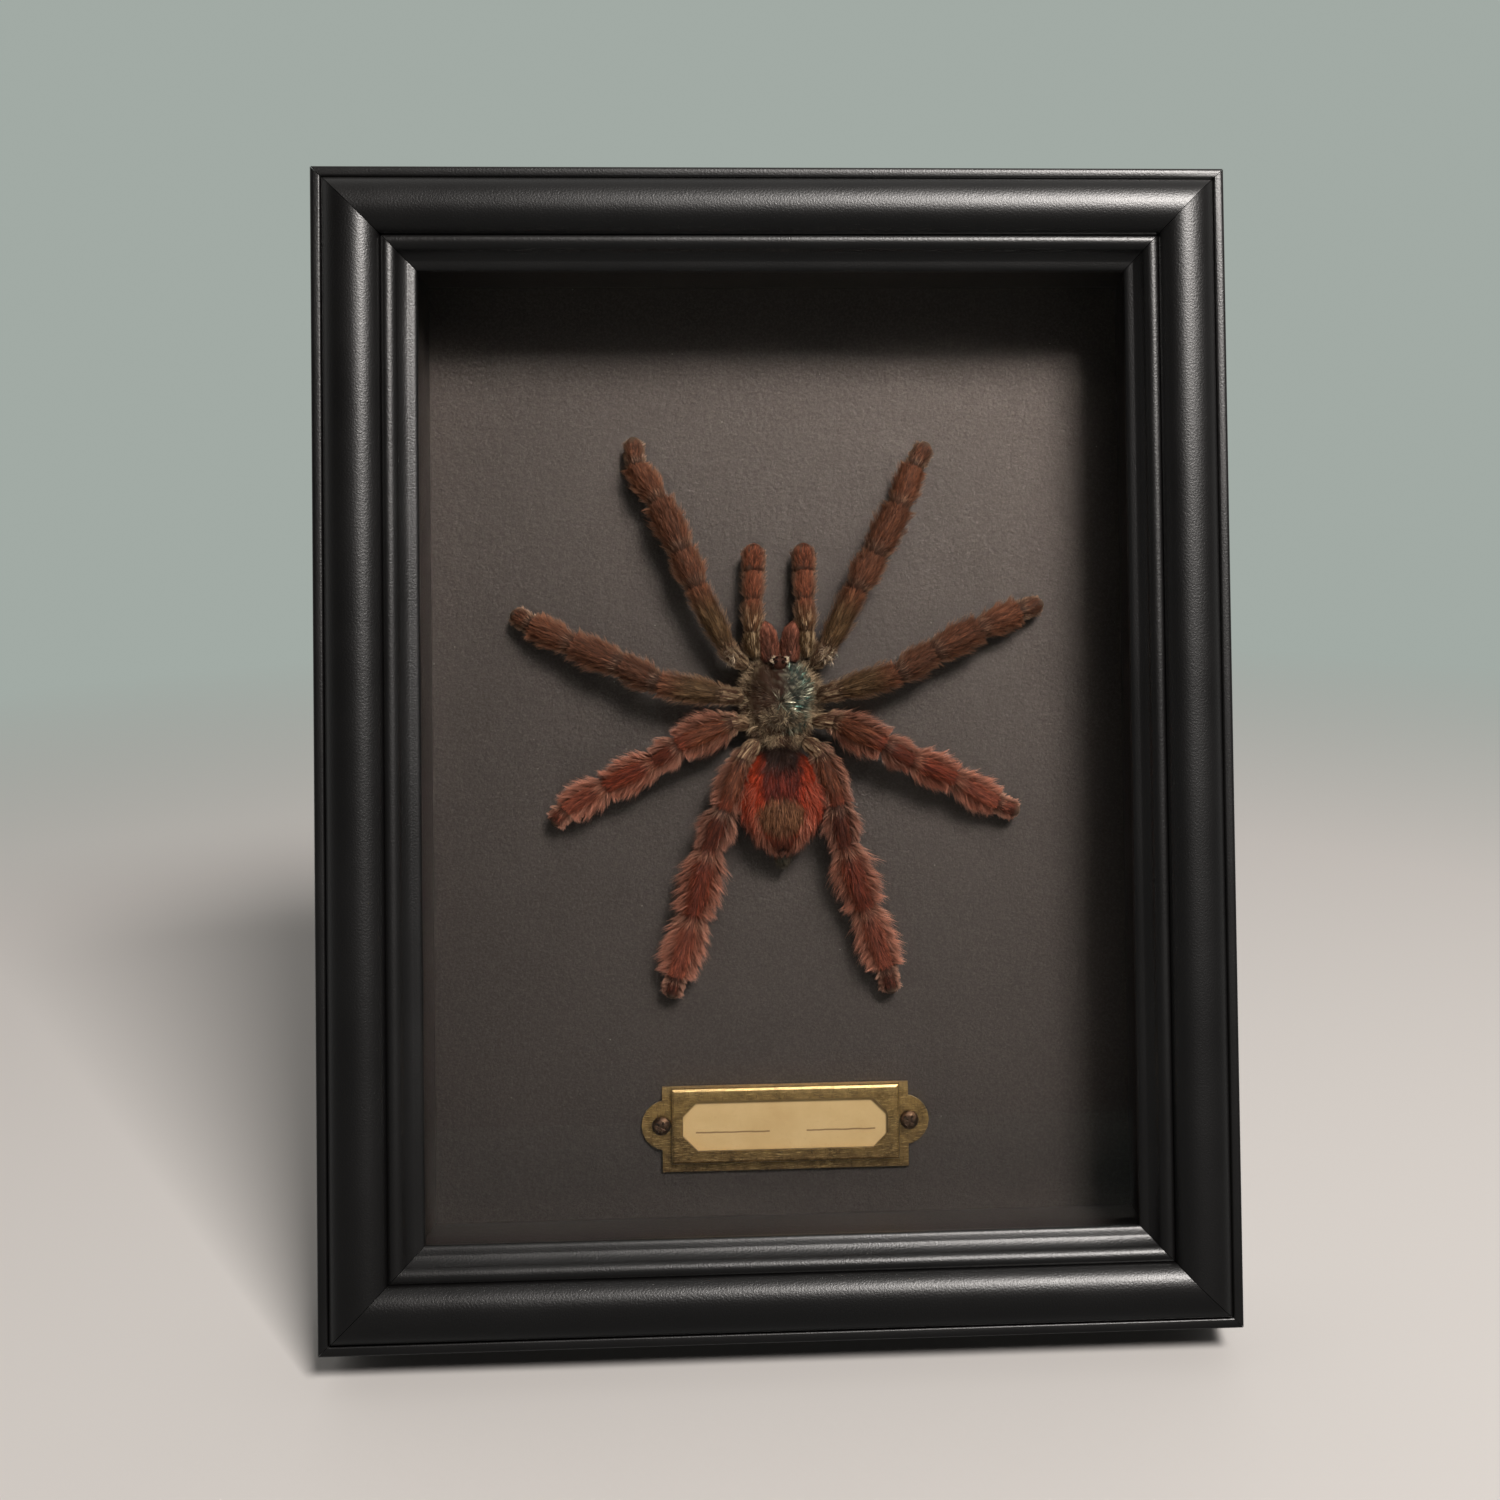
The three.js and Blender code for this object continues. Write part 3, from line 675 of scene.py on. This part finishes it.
def grid_triangles(rows, columns, start=0):
    """Triangles of a grid of points that closes on itself across its columns."""
    i, j = np.meshgrid(np.arange(rows - 1), np.arange(columns), indexing="ij")
    a = start + i * columns + j
    b = start + i * columns + (j + 1) % columns
    c, d = a + columns, b + columns
    return np.concatenate([np.stack([a, b, d], -1).reshape(-1, 3), np.stack([a, d, c], -1).reshape(-1, 3)])


class Limb:
    """A chain of lobed segments along joints, each [x, z, height]."""

    def __init__(self, joints, radii, slender, tone, taper=0.14):
        self.joints = np.array(joints, float)
        self.radii = np.array(radii, float)
        self.slender = np.array(slender)
        self.tone = tone
        self.taper = taper  # how much narrower the hair is at a segment's end
        self.spans = np.linalg.norm(np.diff(self.joints, axis=0), axis=1)
        ends = 2 * self.joints[0] - self.joints[1], 2 * self.joints[-1] - self.joints[-2]
        self.padded = np.vstack([ends[0], self.joints, ends[1]])

    def split(self, s):
        """The segment and the share of its length at s segments from the start."""
        i = np.clip(np.floor(s).astype(int), 0, len(self.radii) - 1)
        return i, s - i

    def centre(self, s):
        """The middle of the limb and its direction."""
        i, t = self.split(s)
        t = t[:, None]
        p0, p1, p2, p3 = (self.padded[i + k] for k in range(4))
        bow = 2 * p0 - 5 * p1 + 4 * p2 - p3, 3 * p1 - p0 - 3 * p2 + p3
        curved = 0.5 * (2 * p1 + (p2 - p0) * t + bow[0] * t**2 + bow[1] * t**3)
        bend = 0.5 * ((p2 - p0) + 2 * bow[0] * t + 3 * bow[1] * t**2)
        heading = p2 - p1 + 0.6 * bend
        heading /= np.linalg.norm(heading, axis=1, keepdims=True)
        return 0.5 * (p1 * (1 - t) + p2 * t + curved), heading

    def rounding(self, i, t):
        """The closing of the limb's free end."""
        ending = np.sqrt(np.clip(1 - np.clip((t - 0.62) / 0.38, 0, 1) ** 2, 0.0, 1))
        return np.where(i == len(self.radii) - 1, ending, 1.0)

    def girth(self, s):
        """The cuticle's radius at s: a lobe with a deep seam at each end."""
        i, t = self.split(s)
        lobe = np.where(i == len(self.radii) - 1, 0.95, 0.7 + 0.3 * np.sin(np.pi * np.clip(t, 0, 1)) ** 0.6)
        return self.radii[i] * self.slender[i] * lobe * self.rounding(i, t)

    def crown(self, s):
        """The radius that the hair's tips reach: narrow where a segment begins, then wide."""
        i, t = self.split(s)
        base = np.where(i == len(self.radii) - 1, 0.8, 0.64)
        widened = base + (1 - base) * step(0.0, 0.5, t)
        return self.radii[i] * widened * (1 - self.taper * step(0.7, 1.1, t))

    def around(self, s, angle, radius):
        """Points at this radius around the limb, the directions along it and out of it."""
        centre, along = self.centre(s)
        out = np.zeros_like(along)
        out[:, 2] = 1
        out -= along * (out * along).sum(1, keepdims=True)
        out /= np.linalg.norm(out, axis=1, keepdims=True)
        side = np.cross(along, out)
        radial = np.cos(angle)[:, None] * out + np.sin(angle)[:, None] * side
        return centre + radial * radius[:, None], along, radial

    def skin(self, rings=14, sides=20):
        """The cuticle: points, triangles and tones."""
        s = np.linspace(0, len(self.radii) - 1e-4, rings * len(self.radii))
        angle = np.linspace(0, 2 * np.pi, sides, endpoint=False)
        ss, aa = (grid.ravel() for grid in np.meshgrid(s, angle, indexing="ij"))
        points = self.around(ss, aa, self.girth(ss))[0]
        tones = 0.3 * self.tone(ss, aa, np.zeros_like(ss))
        return points, grid_triangles(len(s), sides), tones


def scatter(first, second, seed):
    """A repeatable random number from 0 to 1 for each pair of whole numbers."""
    mixed_up = np.sin(first * 127.1 + second * 311.7 + seed * 74.7) * 43758.5453
    return mixed_up - np.floor(mixed_up)


def blades(roots, middles, tips, side, width, root_tones, tip_tones):
    """Blades of hair, three triangles each: points, triangles and tones, with painted shade at the roots.
    """
    half = 0.5 * width[:, None] * side
    points = np.stack([roots - half, roots + half, middles - 0.8 * half, middles + 0.8 * half, tips], 1)
    base = 5 * np.arange(len(roots))[:, None, None]
    triangles = (base + np.array([[0, 1, 3], [0, 3, 2], [2, 3, 4]])).reshape(-1, 3)
    between = 0.6 * root_tones + 0.4 * tip_tones
    # Each root is painted to 0.28 of its tone, as the shade that hair casts on hair.
    colours = np.stack([0.28 * root_tones, 0.28 * root_tones, between, between, tip_tones], 1)
    return points.reshape(-1, 3), triangles, colours.reshape(-1, 3)


def sideways(heading, out, rng):
    """The direction of each blade's width: across it, some turned on edge."""
    side = np.cross(heading, out)
    side /= np.maximum(np.linalg.norm(side, axis=1, keepdims=True), 1e-6)
    side = side + 0.6 * out * rng.uniform(-1, 1, (len(side), 1))
    return side / np.linalg.norm(side, axis=1, keepdims=True)


def coat(
    limb, count, rng, length, width=0.1, first=0.0, fringe=0.0,
    fan=0.15, pale=0.2, core=0.84, wisp=1.35, tuft=0.4, frost=CREAM,
):
    """Hair in locks over a limb, combed to its end; it starts first segments along.

    With a fringe it leaves the flanks at that slope. The tips turn outward by fan and go by pale
    to the colour of frost. They reach core of the crown, or wisp of it in a fringe, where they
    also draw together along the limb by tuft.
    """
    total = len(limb.radii)
    s = rng.uniform(first, total - 0.01, count)
    i, t = limb.split(s)
    angle = rng.uniform(-2.3, 2.3, count)
    if fringe:
        angle = rng.choice([-1, 1], count) * rng.normal(1.5, 0.28, count)
    lock = np.round(angle * limb.radii[i] / LOCK + 0.9 * np.sin(5.3 * s + limb.joints[1, 0]))
    cell = np.floor(s * TUFTS + scatter(lock, i, 1) * TUFTS)
    chance = scatter(lock, cell, 4)
    roots, _, out = limb.around(s, angle, limb.girth(s) * 0.97)
    free_end = i == total - 1
    reach = length * rng.uniform(0.5, 1.15, count) * (0.6 + 0.4 * step(0.0, 0.35, t))
    reach = np.where(free_end, np.minimum(reach, 1.3), reach) * (0.75 + 0.5 * scatter(lock, cell, 3))
    past = np.where(free_end, 0.99, 1.0 + 0.12 * scatter(lock, cell, 8))
    tip_t = np.minimum(t + reach * (0.7 if fringe else 1.0) / limb.spans[i], past)
    middle_of_lock = lock * LOCK / limb.radii[i] + 0.5 * (scatter(lock, cell, 2) - 0.5)
    tip_angle = angle + 0.5 * (middle_of_lock - angle) + fan * angle + rng.normal(0, 0.08, count)
    tip_s = np.minimum(i + tip_t, total - 0.005)
    tip_i = limb.split(tip_s)[0]
    crown = limb.crown(i + np.clip(tip_t, 0, 0.999)) * limb.rounding(tip_i, tip_s - tip_i)
    radius = core * crown * rng.uniform(0.82, 1.08, count) * (0.86 + 0.26 * scatter(lock, cell, 3))
    if fringe:
        middle_of_tuft = (cell + 0.5) / TUFTS - scatter(lock, i, 1)
        tip_s = np.clip(tip_s + tuft * (middle_of_tuft - s), i, i + past)
        tip_s = np.minimum(tip_s, total - 0.005)
        splayed = limb.girth(s) + fringe * reach
        radius = np.minimum(splayed, wisp * crown * rng.uniform(0.7, 1.0, count)) * (0.6 + 0.4 * chance)
    tips = limb.around(tip_s, tip_angle, radius)[0]
    heading = tips - roots
    size = np.linalg.norm(heading, axis=1, keepdims=True)
    heading /= np.maximum(size, 1e-6)
    middles = roots + 0.55 * (tips - roots) + out * size * 0.1
    tones = limb.tone(s, angle, chance) * np.exp(1.0 * (chance - 0.5) + rng.normal(0, 0.34, count))[:, None]
    # The tips go pale towards frost and are lifted by a fifth: partly the hair's own pale tips, partly a
    # painted glint.
    tip_tones = blended(tones, frost, pale * (0.5 + chance)) * 1.2
    widths = width * rng.uniform(0.7, 1.3, count)
    return blades(roots, middles, tips, sideways(heading, out, rng), widths, tones, tip_tones)


def gathered(parts):
    """Several (points, triangles, tones) as one."""
    points, triangles, tones, start = [], [], [], 0
    for p, t, c in parts:
        points.append(p)
        triangles.append(t + start)
        tones.append(c)
        start += len(p)
    return np.concatenate(points), np.concatenate(triangles), np.concatenate(tones)


# How light the hair is along the legs of each pair, a segment each.
LEG_SHADES = np.array([
    [1.0, 1.15, 0.85, 0.9, 1.1, 0.75],
    [1.0, 1.1, 0.65, 0.85, 1.1, 0.7],
    [1.0, 1.3, 0.85, 1.6, 1.75, 1.2],
    [1.0, 1.05, 0.55, 1.25, 1.45, 0.7],
])


def leg_tones(pair):
    """The colours along a leg of this pair, as a function of place and chance."""

    def tone(s, angle, chance):
        i = np.clip(np.floor(s).astype(int), 0, 5)
        t = s - i
        shape = (len(s), 3)
        flank = step(0.55, 1.4, np.abs(angle))
        if pair < 2:
            colour = blended(np.broadcast_to(0.9 * BROWN, shape), 0.75 * BROWN + 0.2 * ROSE, 0.8 * flank)
            lines = np.exp(-(((np.abs(angle) - 0.4) / 0.2) ** 2)) * ((i >= 1) & (i <= 4))
            colour = blended(colour, UMBER, 0.3 * lines * chance * step(0.05, 0.25, t))
        else:
            colour = blended(np.broadcast_to(0.85 * RUST, shape), 0.9 * ROSE, flank * (0.5 + 0.5 * chance))
            core = np.exp(-((angle / 0.8) ** 2)) * np.where(i == 3, 1.0, 0.85)
            colour = blended(colour, GARNET, core * step(0.0, 0.25, t))
            colour = blended(colour, 0.7 * PINK, (0.08 + 0.16 * flank) * (i >= 4))
        golden = step(0.7, 1.0, chance) * (0.25 + 0.4 * flank)
        green = blended(np.broadcast_to(OLIVE, shape), 0.6 * GOLD, golden)
        basal = np.where(i == 1, (0.9 if pair < 2 else 0.3) * (1 - step(0.45, 1.0, t)), 0.0)
        colour = blended(colour, green, basal) * LEG_SHADES[pair][i][:, None]
        hips = np.where(i == 0, 1.0, np.where(i == 1, 1 - step(0.0, 0.16, t), 0.0))
        downy = blended(np.broadcast_to(0.5 * BROWN, shape), 1.1 * GOLD, chance**1.6)
        colour = blended(colour, downy, hips)
        collar = np.exp(-(((t - 0.1) / 0.07) ** 2)) * (i > 1) * 0.18
        colour = blended(colour, CREAM, collar * (0.5 + chance))
        seam = (1 - step(0.02, 0.14, t)) * (i > 1)
        colour = blended(colour, 0.6 * UMBER, (0.6 if pair < 2 else 0.45) * seam)
        tip = (i == 5) * 0.55 * flank * chance + step(5.65, 5.95, s) * 0.6
        return blended(colour, CREAM, np.clip(tip, 0, 0.8))

    return tone


def palp_tone(s, angle, chance):
    i = np.clip(np.floor(s).astype(int), 0, 3)
    t = s - i
    flank = step(0.5, 1.5, np.abs(angle))
    shape = (len(s), 3)
    colour = blended(np.broadcast_to(0.6 * BROWN + 0.4 * RUST, shape), CREAM, 0.3 * flank)
    green = blended(np.broadcast_to(OLIVE, shape), GOLD, (chance > 0.6) * 0.8)
    basal = np.where(i == 0, 1.0, np.where(i == 1, 0.7 * (1 - step(0.3, 0.9, t)), 0))
    colour = blended(colour, green, basal)
    seam = (1 - step(0.0, 0.07, t)) * (i > 0)
    return blended(colour, 0.5 * UMBER, 0.8 * seam)


def fang_tone(s, angle, chance):
    dark = np.exp(-((angle / 0.45) ** 2)) * (1 - step(0.35, 0.8, s))
    root = np.broadcast_to(0.42 * RUST + 0.1 * BROWN, (len(s), 3))
    colour = blended(root, 0.3 * ROSE + 0.4 * RUST, step(0.1, 0.7, s))
    return blended(blended(colour, UMBER, 0.7 * dark), PINK, 0.1 * chance)


def dome(centre, half, rows=56, columns=72):
    """An ellipsoid in rows from front to back: its unit directions, points and triangles."""
    v = np.linspace(0.001, np.pi - 0.001, rows)
    h = np.linspace(0, 2 * np.pi, columns, endpoint=False)
    vv, hh = (grid.ravel() for grid in np.meshgrid(v, h, indexing="ij"))
    unit = np.stack([np.sin(vv) * np.sin(hh), np.cos(vv), np.sin(vv) * np.cos(hh)], -1)
    return unit, np.array(centre) + unit * np.array(half), grid_triangles(rows, columns)


def carapace_tone(unit, chance):
    x, z = unit[:, 0], unit[:, 1]
    # The right half turns bottle green: a painted sheen of the light on that side, where the real coat is
    # alike on both halves.
    green = step(-0.15, 0.45, x + 0.1 * z + 0.3 * (chance - 0.5))
    colour = blended(np.broadcast_to(0.5 * UMBER + 0.2 * OLIVE, unit.shape), BOTTLE, green)
    stripe = np.exp(-(((x + 0.02) / 0.13) ** 2)) * step(-0.3, 0.3, z)
    colour = blended(colour, 0.8 * UMBER, 0.8 * stripe)
    # Pewter hairs here and there by chance, and many more on the green half as painted glints.
    pale_hairs_and_glint = step(0.5, 0.95, chance) * (0.1 + 0.5 * green)
    colour = blended(colour, 0.85 * PEWTER, pale_hairs_and_glint)
    middle = np.exp(-(((x - 0.05) / 0.3) ** 2 + ((z + 0.35) / 0.16) ** 2))
    rim = step(0.72, 1.0, np.hypot(x, z))
    return blended(colour, 0.8 * GOLD, np.clip(rim * (0.2 + 0.8 * chance) + middle * 0.4 * chance, 0, 1))


def abdomen_tone(unit, chance):
    x, z = unit[:, 0], unit[:, 1]
    colour = blended(np.broadcast_to(ORANGE, unit.shape), EMBER, 0.15 + 0.6 * chance)
    band = (1 - step(0.34, 0.6, np.abs(x - 0.02) + 0.14 * (chance - 0.5))) * step(-0.12, 0.1, z)
    dark = blended(np.broadcast_to(0.1 * SOOT + 0.5 * EMBER, unit.shape), 0.4 * SOOT, step(0.35, 0.75, z))
    colour = blended(colour, dark, band * 0.98)
    neck = step(0.72, 0.95, z) * (1 - step(0.3, 0.6, np.abs(x)))
    colour = blended(colour, 0.5 * SOOT, neck)
    patch = 1 - step(0.8, 1.08, np.hypot(x / 0.66, (z + 0.31) / 0.41) + 0.12 * (chance - 0.5))
    colour = blended(colour, 0.7 * BROWN + 0.3 * OLIVE + 0.12 * GOLD * chance[..., None], patch)
    rear = step(0.4, 0.85, -z + 0.2 * (chance - 0.5))
    colour = blended(colour, 0.08 * ROSE + 0.6 * UMBER, rear * 0.9)
    return blended(colour, BOTTLE, step(0.92, 1.0, -z))


def egg(points, centre, half):
    """Narrows an ellipsoid's front shoulder and its rear."""
    z = (points[:, 1] - centre[1]) / half[1]
    narrowed = points.copy()
    narrowed[:, 0] *= 1.05 - 0.16 * step(0.35, 1.0, z) - 0.14 * step(0.1, 1.0, -z)
    return narrowed


def dome_coat(
    centre, half, count, rng, comb, lift, length, width, tone,
    seen=0.05, where=None, pale=0.12, spray=0.12, frost=CREAM,
):
    """Hair over the upper side of an ellipsoid, combed along a direction for each place.

    It rises from the cuticle by lift and goes down the sides as far as seen, but only where the
    test of that name holds. Its tips scatter by spray and go by pale to the colour of frost.
    """
    unit = rng.normal(size=(count * 5, 3))
    unit /= np.linalg.norm(unit, axis=1, keepdims=True)
    unit = unit[unit[:, 2] > -seen]
    if where is not None:
        unit = unit[where(unit)]
    unit = unit[:count]
    half = np.array(half)
    roots = np.array(centre) + unit * half * 0.98
    out = unit / half
    out /= np.linalg.norm(out, axis=1, keepdims=True)
    heading = comb(unit)
    heading = heading - out * (heading * out).sum(1, keepdims=True)
    heading /= np.maximum(np.linalg.norm(heading, axis=1, keepdims=True), 1e-6)
    lock = np.floor(roots[:, 0] / BODY_LOCK[0]), np.floor(roots[:, 1] / BODY_LOCK[1])
    chance = scatter(*lock, 5)
    lean = np.stack([scatter(*lock, 6) - 0.5, scatter(*lock, 7) - 0.5, 0 * chance], -1)
    rise = np.clip(lift * rng.uniform(0.5, 1.4, len(unit)), 0.05, 0.95)
    heading = heading * np.sqrt(1 - rise**2)[:, None] + out * rise[:, None]
    heading += 0.45 * lean + rng.normal(0, spray, (len(unit), 3))
    heading /= np.linalg.norm(heading, axis=1, keepdims=True)
    lengths = (length * rng.uniform(0.6, 1.15, len(unit)))[:, None]
    middles = roots + heading * 0.55 * lengths
    ahead = heading - 0.35 * out
    tips = middles + ahead / np.linalg.norm(ahead, axis=1, keepdims=True) * 0.45 * lengths
    tones = tone(unit, chance) * np.exp(0.9 * (chance - 0.5) + rng.normal(0, 0.25, len(unit)))[:, None]
    # The tips go pale towards frost and are lifted by a fifth: partly the hair's own pale tips, partly a
    # painted glint.
    tip_tones = blended(tones, frost, pale * chance) * 1.2
    widths = width * rng.uniform(0.7, 1.3, len(unit))
    return blades(roots, middles, tips, sideways(heading, out, rng), widths, tones, tip_tones)


def add_legs(rng, legs, skins):
    """The hair of one side's legs, two coats a leg; their cuticle joins the skins."""
    hairs = []
    for pair, flat in enumerate(legs):
        joints = [[x, z, LEG_HEIGHTS[i]] for i, (x, z) in enumerate(flat)]
        taper = 0.14 if pair < 2 else 0.28
        limb = Limb(joints, LEG_RADII[pair], LEG_SLENDERS[pair], leg_tones(pair), taper)
        skins.append(limb.skin())
        if pair < 2:
            hairs.append(coat(limb, 18000, rng, 2.2, width=0.1, core=0.84, pale=0.08))
            hairs.append(coat(limb, 7800, rng, 3.3, 0.09, 0.6, 0.9, pale=0.6, wisp=1.6, frost=FAWN))
        else:
            hairs.append(coat(limb, 16500, rng, 3.0, 0.11, fan=0.3, pale=0.06, core=0.66, frost=PINK))
            hairs.append(coat(
                limb, 12500, rng, 4.8, 0.12, 0.6, 1.1, pale=0.75, wisp=1.75, tuft=0.65, frost=PINK,
            ))
    return hairs


def add_palps(rng, skins):
    """The hair of the palps and chelicerae; their cuticle joins the skins."""
    hairs = []
    for side in (-1, 1):
        joints = [[side * x, z, h] for x, z, h in PALP_JOINTS]
        palp = Limb(joints, PALP_RADII, PALP_SLENDERS, palp_tone)
        skins.append(palp.skin())
        hairs.append(coat(palp, 8500, rng, 2.2, width=0.1, pale=0.12, frost=FAWN))
        hairs.append(coat(palp, 2600, rng, 2.6, width=0.085, fringe=0.8, pale=0.5, wisp=1.5, frost=FAWN))
        joints = [[side * x, z, h] for x, z, h in CHELICERA_JOINTS]
        chelicera = Limb(joints, [CHELICERA_RADIUS], [CHELICERA_SLENDER], fang_tone)
        skins.append(chelicera.skin(26))
        hairs.append(coat(chelicera, 5200, rng, 2.6, width=0.11, pale=0.1, frost=PINK))
    return hairs


def carapace_relief(unit):
    """How far the carapace rises above its ellipsoid: radial furrows, a pit and a raised brow."""
    x, z = unit[:, 0], unit[:, 1] - FOVEA
    spokes = 0.3 * np.cos(8 * np.arctan2(x, z)) * step(0.2, 0.6, np.hypot(x, z))
    fovea = -1.0 * np.exp(-((x / 0.14) ** 2 + (z / 0.09) ** 2))
    brow = 0.6 * np.exp(-((x / 0.45) ** 2 + ((unit[:, 1] - 0.55) / 0.3) ** 2))
    return np.where(unit[:, 2] > 0, spokes + fovea + brow, 0)


def add_body(rng, skins):
    """The cuticle of the body joins the skins."""
    unit, points, triangles = dome(*CARAPACE)
    points[:, 2] += carapace_relief(unit)
    skins.append((points, triangles, carapace_tone(unit, rng.random(len(unit))) * 0.7))
    unit, points, triangles = dome(*ABDOMEN)
    skins.append((egg(points, *ABDOMEN), triangles, abdomen_tone(unit, 0.5 * np.ones(len(unit))) * 0.4))
    for ellipsoid, tone in ((SPINNERETS, BOTTLE), (WAIST, UMBER), (EYE_MOUND, UMBER)):
        unit, points, triangles = dome(*ellipsoid, 24, 24)
        skins.append((points, triangles, np.broadcast_to(tone, unit.shape)))


def add_eyes():
    eyes = []
    for x, z, up, size in EYES:
        for side in (-1, 1):
            unit, points, triangles = dome((side * x, z, up), (size, size, size), 12, 14)
            eyes.append((points, triangles, np.broadcast_to(0.4 * SOOT, unit.shape)))
    fast_mesh("tarantula_eyes", *gathered(eyes), EYE)


def backward(unit):
    """To the rear, and a little outward."""
    return np.stack([0.35 * unit[:, 0], -np.ones(len(unit)), 0 * unit[:, 0]], -1)


def outward(unit):
    """Away from the pit."""
    return np.stack([unit[:, 0], unit[:, 1] - FOVEA, 0 * unit[:, 0]], -1)


def between_tones(first, second):
    """A tone that lies between two by chance alone."""
    return lambda unit, chance: blended(np.broadcast_to(first, unit.shape), second, chance)


def long_abdomen_tone(unit, chance):
    return blended(abdomen_tone(unit, chance), 0.6 * ROSE, 0.7 * step(0.2, 0.6, -unit[:, 1]))


def abdomen_sides(unit):
    return (np.hypot(unit[:, 0], 0.6 * unit[:, 1]) > 0.6) & (unit[:, 1] < 0.35)


def beside_eyes(unit):
    return (np.abs(unit[:, 0]) > 0.45) & (unit[:, 1] > -0.1)


def on_rim(unit):
    return np.abs(unit[:, 2]) < 0.6


def metallic_tone(unit, chance):
    return blended(np.broadcast_to(TEAL, unit.shape), PEWTER, step(0.4, 1.0, chance))


def sheen_half(unit):
    """The carapace's right half, with a ragged edge, where metallic hair is put as a painted sheen of the
    light on that side.
    """
    x, z = unit[:, 0], unit[:, 1]
    return (x > 0.12 + 0.25 * np.sin(9 * z)) & (np.hypot(x, z) < 0.88) & (z < 0.6) & (z > -0.75)


def abdomen_hair(rng):
    dense = dome_coat(*ABDOMEN, 19000, rng, backward, 0.25, 2.6, 0.13, abdomen_tone, 0.45, pale=0.03)
    long_hair = dome_coat(
        *ABDOMEN, 6000, rng, backward, 0.5, 3.8, 0.12, long_abdomen_tone,
        0.45, abdomen_sides, 0.5, frost=PINK,
    )
    return [
        (egg(dense[0], *ABDOMEN), *dense[1:]),
        (egg(long_hair[0], *ABDOMEN), *long_hair[1:]),
        dome_coat(
            *SPINNERETS, 1500, rng, backward, 0.25, 2.2, 0.1,
            between_tones(BOTTLE, 0.12 * GOLD), 0.8,
        ),
    ]


def carapace_hair(rng):
    """The carapace's coat, then the fringe of its rim, and the tufts of waist, eyes, pit and hips."""
    coats = [
        dome_coat(*CARAPACE, 9000, rng, outward, 0.22, 1.5, 0.1, carapace_tone, 0.1),
        dome_coat(
            (0, 10.5, 4.6), (7.7, 10.1, 3.4), 6500, rng, outward, 0.5, 3.1, 0.085,
            between_tones(0.4 * BROWN, 1.25 * GOLD), 0.5, on_rim, 0.5, 0.6,
        ),
        dome_coat(
            (0, 0.4, 5.0), (3.4, 2.6, 2.8), 2600, rng, backward, 0.45, 2.6, 0.075,
            between_tones(0.3 * BROWN, GOLD), 0.5, None, 0.3, 0.5,
        ),
        dome_coat(
            (0, 17.8, 8.9), (1.7, 1.4, 1.1), 220, rng, outward, 0.4, 1.0, 0.1,
            between_tones(0.8 * GOLD, 1.4 * CREAM), 0.3, beside_eyes, 0.6,
        ),
        dome_coat(
            (0.4, 6.2, 8.0), (4.2, 2.4, 1.0), 900, rng, outward, 0.3, 1.8, 0.07,
            between_tones(0.3 * GOLD, 0.9 * GOLD), 0.0, None, 0.3, 0.6,
        ),
    ]
    for side in (-1, 1):
        coats.append(dome_coat(
            (side * 10.4, 19.6, 7.6), (1.5, 1.9, 1.7), 150, rng, backward, 0.5, 1.5, 0.1,
            between_tones(0.7 * GOLD, 1.3 * CREAM), 0.3, None, 0.6, 0.6,
        ))
    return coats


def specimen():
    rng = np.random.default_rng(SEED)
    skins = []
    left_hair = add_legs(rng, LEFT_LEGS, skins)
    right_hair = add_legs(rng, RIGHT_LEGS, skins)
    palp_hair = add_palps(rng, skins)
    add_body(rng, skins)
    fast_mesh("tarantula_cuticle", *gathered(skins), CUTICLE, ("tarantula",))
    fast_mesh("tarantula_hair_left_legs_front", *gathered(left_hair[:4]), HAIR)
    fast_mesh("tarantula_hair_left_legs_rear", *gathered(left_hair[4:]), HAIR)
    fast_mesh("tarantula_hair_right_legs_front", *gathered(right_hair[:4]), HAIR)
    fast_mesh("tarantula_hair_right_legs_rear", *gathered(right_hair[4:]), HAIR)
    fast_mesh("tarantula_hair_palps", *gathered(palp_hair), HAIR)
    add_eyes()
    fast_mesh("tarantula_hair_abdomen", *gathered(abdomen_hair(rng)), HAIR)
    fast_mesh("tarantula_hair_carapace", *gathered(carapace_hair(rng)), HAIR)
    # Metallic hair on the right half alone: a painted sheen of the light on that side.
    shining = dome_coat(
        (0, 10.5, 5.1), (7.6, 10.0, 4.3), 900, rng, outward, 0.22, 2.4, 0.08,
        metallic_tone, 0.0, sheen_half,
    )
    fast_mesh("tarantula_hair_sheen_side", *shining, METALLIC_HAIR)


specimen()
